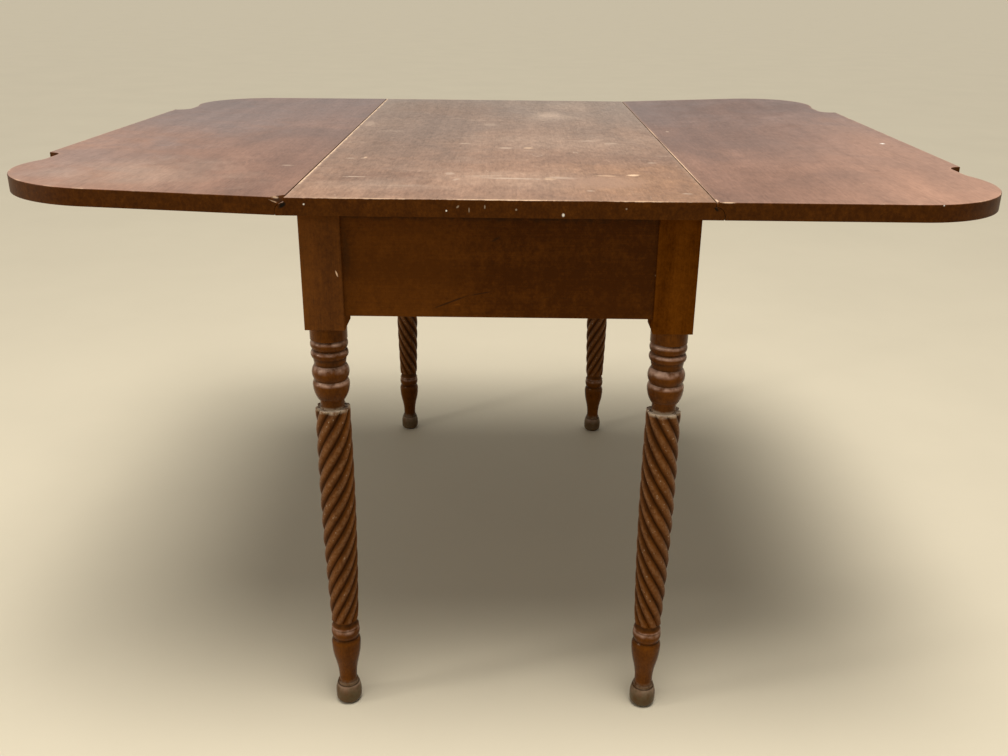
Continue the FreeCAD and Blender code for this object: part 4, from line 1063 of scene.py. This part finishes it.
def mark_ledges(piece, centre, top):
    """Marks the ledges of a turning and their rims, where pale dust lies, and cleans the neck above."""
    select_faces(piece, lambda middle, normal: normal.z > LEDGE_FACING and middle.z < top)
    mesh = bmesh.from_edit_mesh(piece.data)
    ledges = [(vert.co.z, (vert.co.xy - centre).length) for vert in mesh.verts if vert.select]
    bpy.ops.mesh.inset(thickness=LEDGE_INSET)
    mesh = bmesh.from_edit_mesh(piece.data)
    hollow = point_layer(mesh, "hollow")
    dust = point_layer(mesh, "dust")
    for vert in mesh.verts:
        share = 1.0 if vert.co.z > TWIST_TOP - RIM_DROP else FOOT_DUST * (vert.co.z < 2 * FOOT_TOP)
        if vert.select:
            vert[dust] = share
            continue
        if not any(-HAIR < vert.co.z - height < NECK_HEIGHT for height, reach in ledges):
            continue
        vert[hollow] *= NECK_GRIME
        level = [reach for height, reach in ledges if abs(height - vert.co.z) < HAIR]
        if level and (vert.co.xy - centre).length > RIM_SHARE * max(level):
            vert[dust] = share
    bmesh.update_edit_mesh(piece.data)


def add_frame_board(name, body, node, material):
    """Board of the frame with its lower arrises rubbed round."""
    piece = start_from_node(name, node)
    flatten_faces()
    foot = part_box(node)[0].z
    radius = bpy.context.scene.table_sizes.post_arris_radius
    round_arrises(piece, radius, lambda point: point.z < foot + HAIR)
    end_piece(piece, body, node, material)


class TABLE_OT_fixed_top(bpy.types.Operator):
    """Fixed board between the leaves"""

    bl_idname = "table.fixed_top"
    bl_label = "Fixed top"

    def execute(self, context):
        sizes, colours = context.scene.table_sizes, context.scene.table_colours
        piece = start_from_node("top_board", "fixed_top")
        flatten_faces()
        round_arrises(piece, sizes.arris_radius, on_upper_side, TOP_WEAR)
        cut_evenly(1, -HALF_LENGTH, HALF_LENGTH, SEAM_FADE)
        wear_seams(piece, sizes.arris_radius)
        worn_band_inside(piece, sizes.worn_band)
        material = board_material("Top finish", TOP_BOARD, colours)
        end_piece(piece, "frame", "fixed_top", material)
        return {"FINISHED"}


class TABLE_OT_leaves(bpy.types.Operator):
    """Two leaves with lobed corners, warped as old boards are"""

    bl_idname = "table.leaves"
    bl_label = "Leaves"

    def execute(self, context):
        sizes, colours = context.scene.table_sizes, context.scene.table_colours
        material = board_material("Leaf finish", LEAF_BOARD, colours)
        for side in SIDES:
            node = f"{side}_leaf"
            piece = start_from_node(f"{side}_leaf_board", node)
            flatten_faces()
            round_arrises(piece, sizes.arris_radius, self.on_outline, LEAF_WEAR)
            round_arrises(piece, sizes.arris_radius, self.on_seam, LEAF_SEAM_WEAR[side])
            worn_band_inside(piece, sizes.worn_band)
            low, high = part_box(node)
            for axis in (0, 1):
                cut_evenly(axis, low[axis], high[axis], sizes.twist_step)
            seam = high.x if side == "left" else low.x
            chip_corner(Vector((seam, low.y, high.z)), CHIPS[side])
            raises = [getattr(sizes, f"{side}_{end}_raise") for end in ENDS]
            shrinks = [getattr(sizes, f"{side}_{end}_shrink") for end in ENDS]
            twist_leaf(piece, raises, shrinks)
            end_piece(piece, node, node, material)
        return {"FINISHED"}

    def on_outline(self, point):
        """Whether a point lies on the upper arris away from the seam."""
        return on_upper_side(point) and abs(point.x) > SEAM_X + SEAM_SLACK

    def on_seam(self, point):
        """Whether a point lies on the upper arris along the seam."""
        return on_upper_side(point) and abs(point.x) < SEAM_X + SEAM_SLACK


class TABLE_OT_legs(bpy.types.Operator):
    """Four legs with square posts and rope-twisted shafts"""

    bl_idname = "table.legs"
    bl_label = "Legs"

    def execute(self, context):
        sizes, colours = context.scene.table_sizes, context.scene.table_colours
        turning = frame_material("Leg finish", axis="z", gloss=0.1, shade=0.12, marks=LEG_MARKS,
                                 colours=colours)
        post = frame_material("Post finish", axis="z", gloss=0.0, shade=0.0, marks=POST_MARKS,
                              colours=colours)
        for end in ENDS:
            for side in SIDES:
                node = f"{end}_{side}_leg"
                low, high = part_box(node)
                piece = start_from_node(f"{node}_turning", node)
                self.round_post(piece, sizes.post_arris_radius, low, high)
                mark_hollows(piece, ((low + high) / 2).xy, POST_FOOT - POST_SLACK)
                mark_ledges(piece, ((low + high) / 2).xy, POST_FOOT - POST_SLACK)
                select_faces(piece, lambda middle, normal: middle.z > POST_FOOT - HAIR)
                end_piece(piece, "frame", node, turning, LEG_SMOOTHING)
                self.finish_post(piece, post)
        return {"FINISHED"}

    def round_post(self, piece, radius, low, high):
        """Joins the triangles of the post's flat sides and rounds its arrises."""
        def on_side(middle, normal):
            return middle.z > POST_FOOT - HAIR and max(map(abs, normal)) > SQUARE_FACING

        def on_corner(point):
            across = min(abs(point.x - low.x), abs(point.x - high.x)) < HAIR
            along = min(abs(point.y - low.y), abs(point.y - high.y)) < HAIR
            return across and along and point.z > POST_FOOT - HAIR

        select_faces(piece, on_side)
        bpy.ops.mesh.dissolve_limited(angle_limit=FLAT_ANGLE)
        bpy.ops.mesh.select_mode(type="EDGE")
        round_arrises(piece, radius, on_corner, POST_WEAR)

    def finish_post(self, piece, material):
        """Gives the selected faces of a leg the finish of its post."""
        piece.data.materials.append(material)
        bpy.ops.object.mode_set(mode="EDIT")
        piece.active_material_index = 1
        bpy.ops.object.material_slot_assign()
        bpy.ops.object.mode_set(mode="OBJECT")


class TABLE_OT_aprons(bpy.types.Operator):
    """Two plain end aprons"""

    bl_idname = "table.aprons"
    bl_label = "Aprons"

    def execute(self, context):
        # The apron's darker tone (shade 0.3) is painted shade, for the shadow under the overhang of the top
        material = frame_material("Apron finish", axis="x", gloss=0.08, shade=0.3, marks=APRON_MARKS,
                                  colours=context.scene.table_colours)
        for end in ENDS:
            add_frame_board(f"{end}_apron_board", "frame", f"{end}_apron", material)
        return {"FINISHED"}


class TABLE_OT_rails(bpy.types.Operator):
    """Side rails, and the outer rails that carry the knuckles"""

    bl_idname = "table.rails"
    bl_label = "Side rails"

    def execute(self, context):
        colours = context.scene.table_colours
        materials = {"inner": raw_material("Raw rail", "y", colours), "fly": rail_material(colours)}
        for side in SIDES:
            for kind, material in materials.items():
                node = f"{side}_{kind}_rail"
                add_frame_board(f"{node}_board", "frame", node, material)
        return {"FINISHED"}


class TABLE_OT_flies(bpy.types.Operator):
    """Four fly brackets that swing out under the leaves"""

    bl_idname = "table.flies"
    bl_label = "Fly brackets"

    def execute(self, context):
        material = rail_material(context.scene.table_colours)
        for side in SIDES:
            for end in ENDS:
                node = f"{side}_{end}_fly"
                add_frame_board(f"{node}_bracket", node, node, material)
        return {"FINISHED"}


class TABLE_OT_ironwork(bpy.types.Operator):
    """Finish of the hinges, pins and screws, which keep their shapes"""

    bl_idname = "table.ironwork"
    bl_label = "Hinges, pins and screws"

    def execute(self, context):
        colours = context.scene.table_colours
        iron = iron_material("Hinge iron", colours, rust_share=1.0)
        steel = iron_material("Screw steel", colours, rust_share=0.5)
        for name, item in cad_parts.items():
            if item.hide_render:
                continue
            item.data.materials.clear()
            item.data.materials.append(iron if "plate" in name else steel)
        return {"FINISHED"}


# Stage

SENSOR_WIDTH = 36.0
FLOOR_SIZE = 400.0
FLOOR_ROUGHNESS = 0.7
# How dark the dim parts of the floor are beside its colour
FLOOR_DIM = 0.9
OVERHEAD_PLACE = (0.0, 0.0, 4.0)
OVERHEAD_LEAN = math.radians(9)
OVERHEAD_SPREAD = math.radians(35)
# Lamps, each with its setting, its size, its place and the place that it lights
LAMPS = {
    "ceiling_lamp": ("ceiling_light", 1.2, (0.3, -0.6, 3.2), (0.0, -0.1, 0.0)),
    "window_lamp": ("window_light", 0.3, (-2.4, -1.2, 1.15), (0.0, -0.45, 0.55)),
}


class TABLE_OT_stage(bpy.types.Operator):
    """Camera, floor and light"""

    bl_idname = "table.stage"
    bl_label = "Stage"

    def execute(self, context):
        stage = context.scene.table_stage
        self.add_camera(context, stage)
        self.add_floor(context, stage)
        self.add_lights(context, stage)
        self.light_room(context, stage)
        context.scene.view_settings.view_transform = "Standard"
        return {"FINISHED"}

    def add_camera(self, context, stage):
        """Camera at its place, turned by its yaw, pitch and roll."""
        bpy.ops.object.camera_add()
        camera = context.object
        camera.data.sensor_width = SENSOR_WIDTH
        camera.data.lens = stage.lens
        yaw = Matrix.Rotation(-stage.camera_yaw, 4, "Z")
        pitch = Matrix.Rotation(math.pi / 2 - stage.camera_pitch, 4, "X")
        roll = Matrix.Rotation(stage.camera_roll, 4, "Z")
        camera.matrix_world = Matrix.Translation(stage.camera_place) @ yaw @ pitch @ roll
        context.scene.camera = camera

    def add_floor(self, context, stage):
        """Wide pale floor with a faint mottle."""
        bpy.ops.object.select_all(action="DESELECT")
        bpy.ops.mesh.primitive_plane_add(size=FLOOR_SIZE)
        floor = context.object
        floor.name = "floor"
        material, wire, shader = new_material("Floor")
        place = wire.add("TexCoord").outputs["Object"]
        mottle = wire.noise(place, scale=2.2, detail=6.0, roughness=0.6)
        dim = [FLOOR_DIM * value for value in stage.floor_colour]
        wire.join(shader.inputs["Base Color"], wire.mix(mottle, opaque(dim), opaque(stage.floor_colour)))
        shader.inputs["Roughness"].default_value = FLOOR_ROUGHNESS
        floor.data.materials.append(material)

    def add_lights(self, context, stage):
        """Even light from above, and a lamp for each highlight."""
        bpy.ops.object.light_add(type="SUN", location=OVERHEAD_PLACE, rotation=(OVERHEAD_LEAN, 0.0, 0.0))
        overhead = context.object
        overhead.name = "overhead_lamp"
        overhead.data.energy = stage.overhead_light
        overhead.data.angle = OVERHEAD_SPREAD
        for name, (setting, size, spot, target) in LAMPS.items():
            turn = (Vector(target) - Vector(spot)).to_track_quat("-Z", "Y").to_euler()
            bpy.ops.object.light_add(type="AREA", location=spot, rotation=turn)
            lamp = context.object
            lamp.name = name
            lamp.data.energy = getattr(stage, setting)
            lamp.data.size = size

    def light_room(self, context, stage):
        """Plain room all round, which looks brighter than the light that it gives."""
        world = bpy.data.worlds.new("Room")
        world.use_nodes = True
        context.scene.world = world
        wire = Wiring(world.node_tree)
        background = world.node_tree.nodes["Background"]
        path = wire.add("LightPath").outputs
        seen = wire.math("ADD", path["Is Camera Ray"], path["Is Transmission Ray"])
        seen = wire.math("ADD", seen, path["Is Glossy Ray"])
        strength = wire.add("Mix", {0: seen, 2: stage.room_light, 3: stage.seen_light}).outputs[0]
        wire.join(background.inputs["Color"], opaque(stage.room_colour))
        wire.join(background.inputs["Strength"], strength)


class TABLE_PT_panel(bpy.types.Panel):
    """Lists the pieces of the table and their settings"""

    bl_idname = "TABLE_PT_panel"
    bl_label = "Drop-leaf table"
    bl_space_type = "VIEW_3D"
    bl_region_type = "UI"
    bl_category = "Table"

    def draw(self, context):
        """One button for each piece, and a box for each group of settings."""
        for operator in OPERATORS:
            self.layout.operator(operator.bl_idname)
        for name, cls in SETTINGS.items():
            box = self.layout.box()
            for setting in cls.__annotations__:
                box.prop(getattr(context.scene, name), setting)


OPERATORS = (
    TABLE_OT_fixed_top,
    TABLE_OT_leaves,
    TABLE_OT_legs,
    TABLE_OT_aprons,
    TABLE_OT_rails,
    TABLE_OT_flies,
    TABLE_OT_ironwork,
    TABLE_OT_stage,
)
SETTINGS = {"table_sizes": TableSizes, "table_colours": TableColours, "table_stage": StageSettings}


def register():
    """Registers the settings, the operators and the panel."""
    for cls in (*SETTINGS.values(), *OPERATORS, TABLE_PT_panel):
        bpy.utils.register_class(cls)
    for name, cls in SETTINGS.items():
        setattr(bpy.types.Scene, name, PointerProperty(type=cls))


def unregister():
    """Takes everything out again."""
    for name in SETTINGS:
        delattr(bpy.types.Scene, name)
    for cls in reversed((*SETTINGS.values(), *OPERATORS, TABLE_PT_panel)):
        bpy.utils.unregister_class(cls)


def main():
    """Builds the table piece by piece."""
    register()
    bpy.ops.table.fixed_top()
    bpy.ops.table.leaves()
    bpy.ops.table.legs()
    bpy.ops.table.aprons()
    bpy.ops.table.rails()
    bpy.ops.table.flies()
    bpy.ops.table.ironwork()
    bpy.ops.table.stage()


if __name__ == "__main__":
    main()
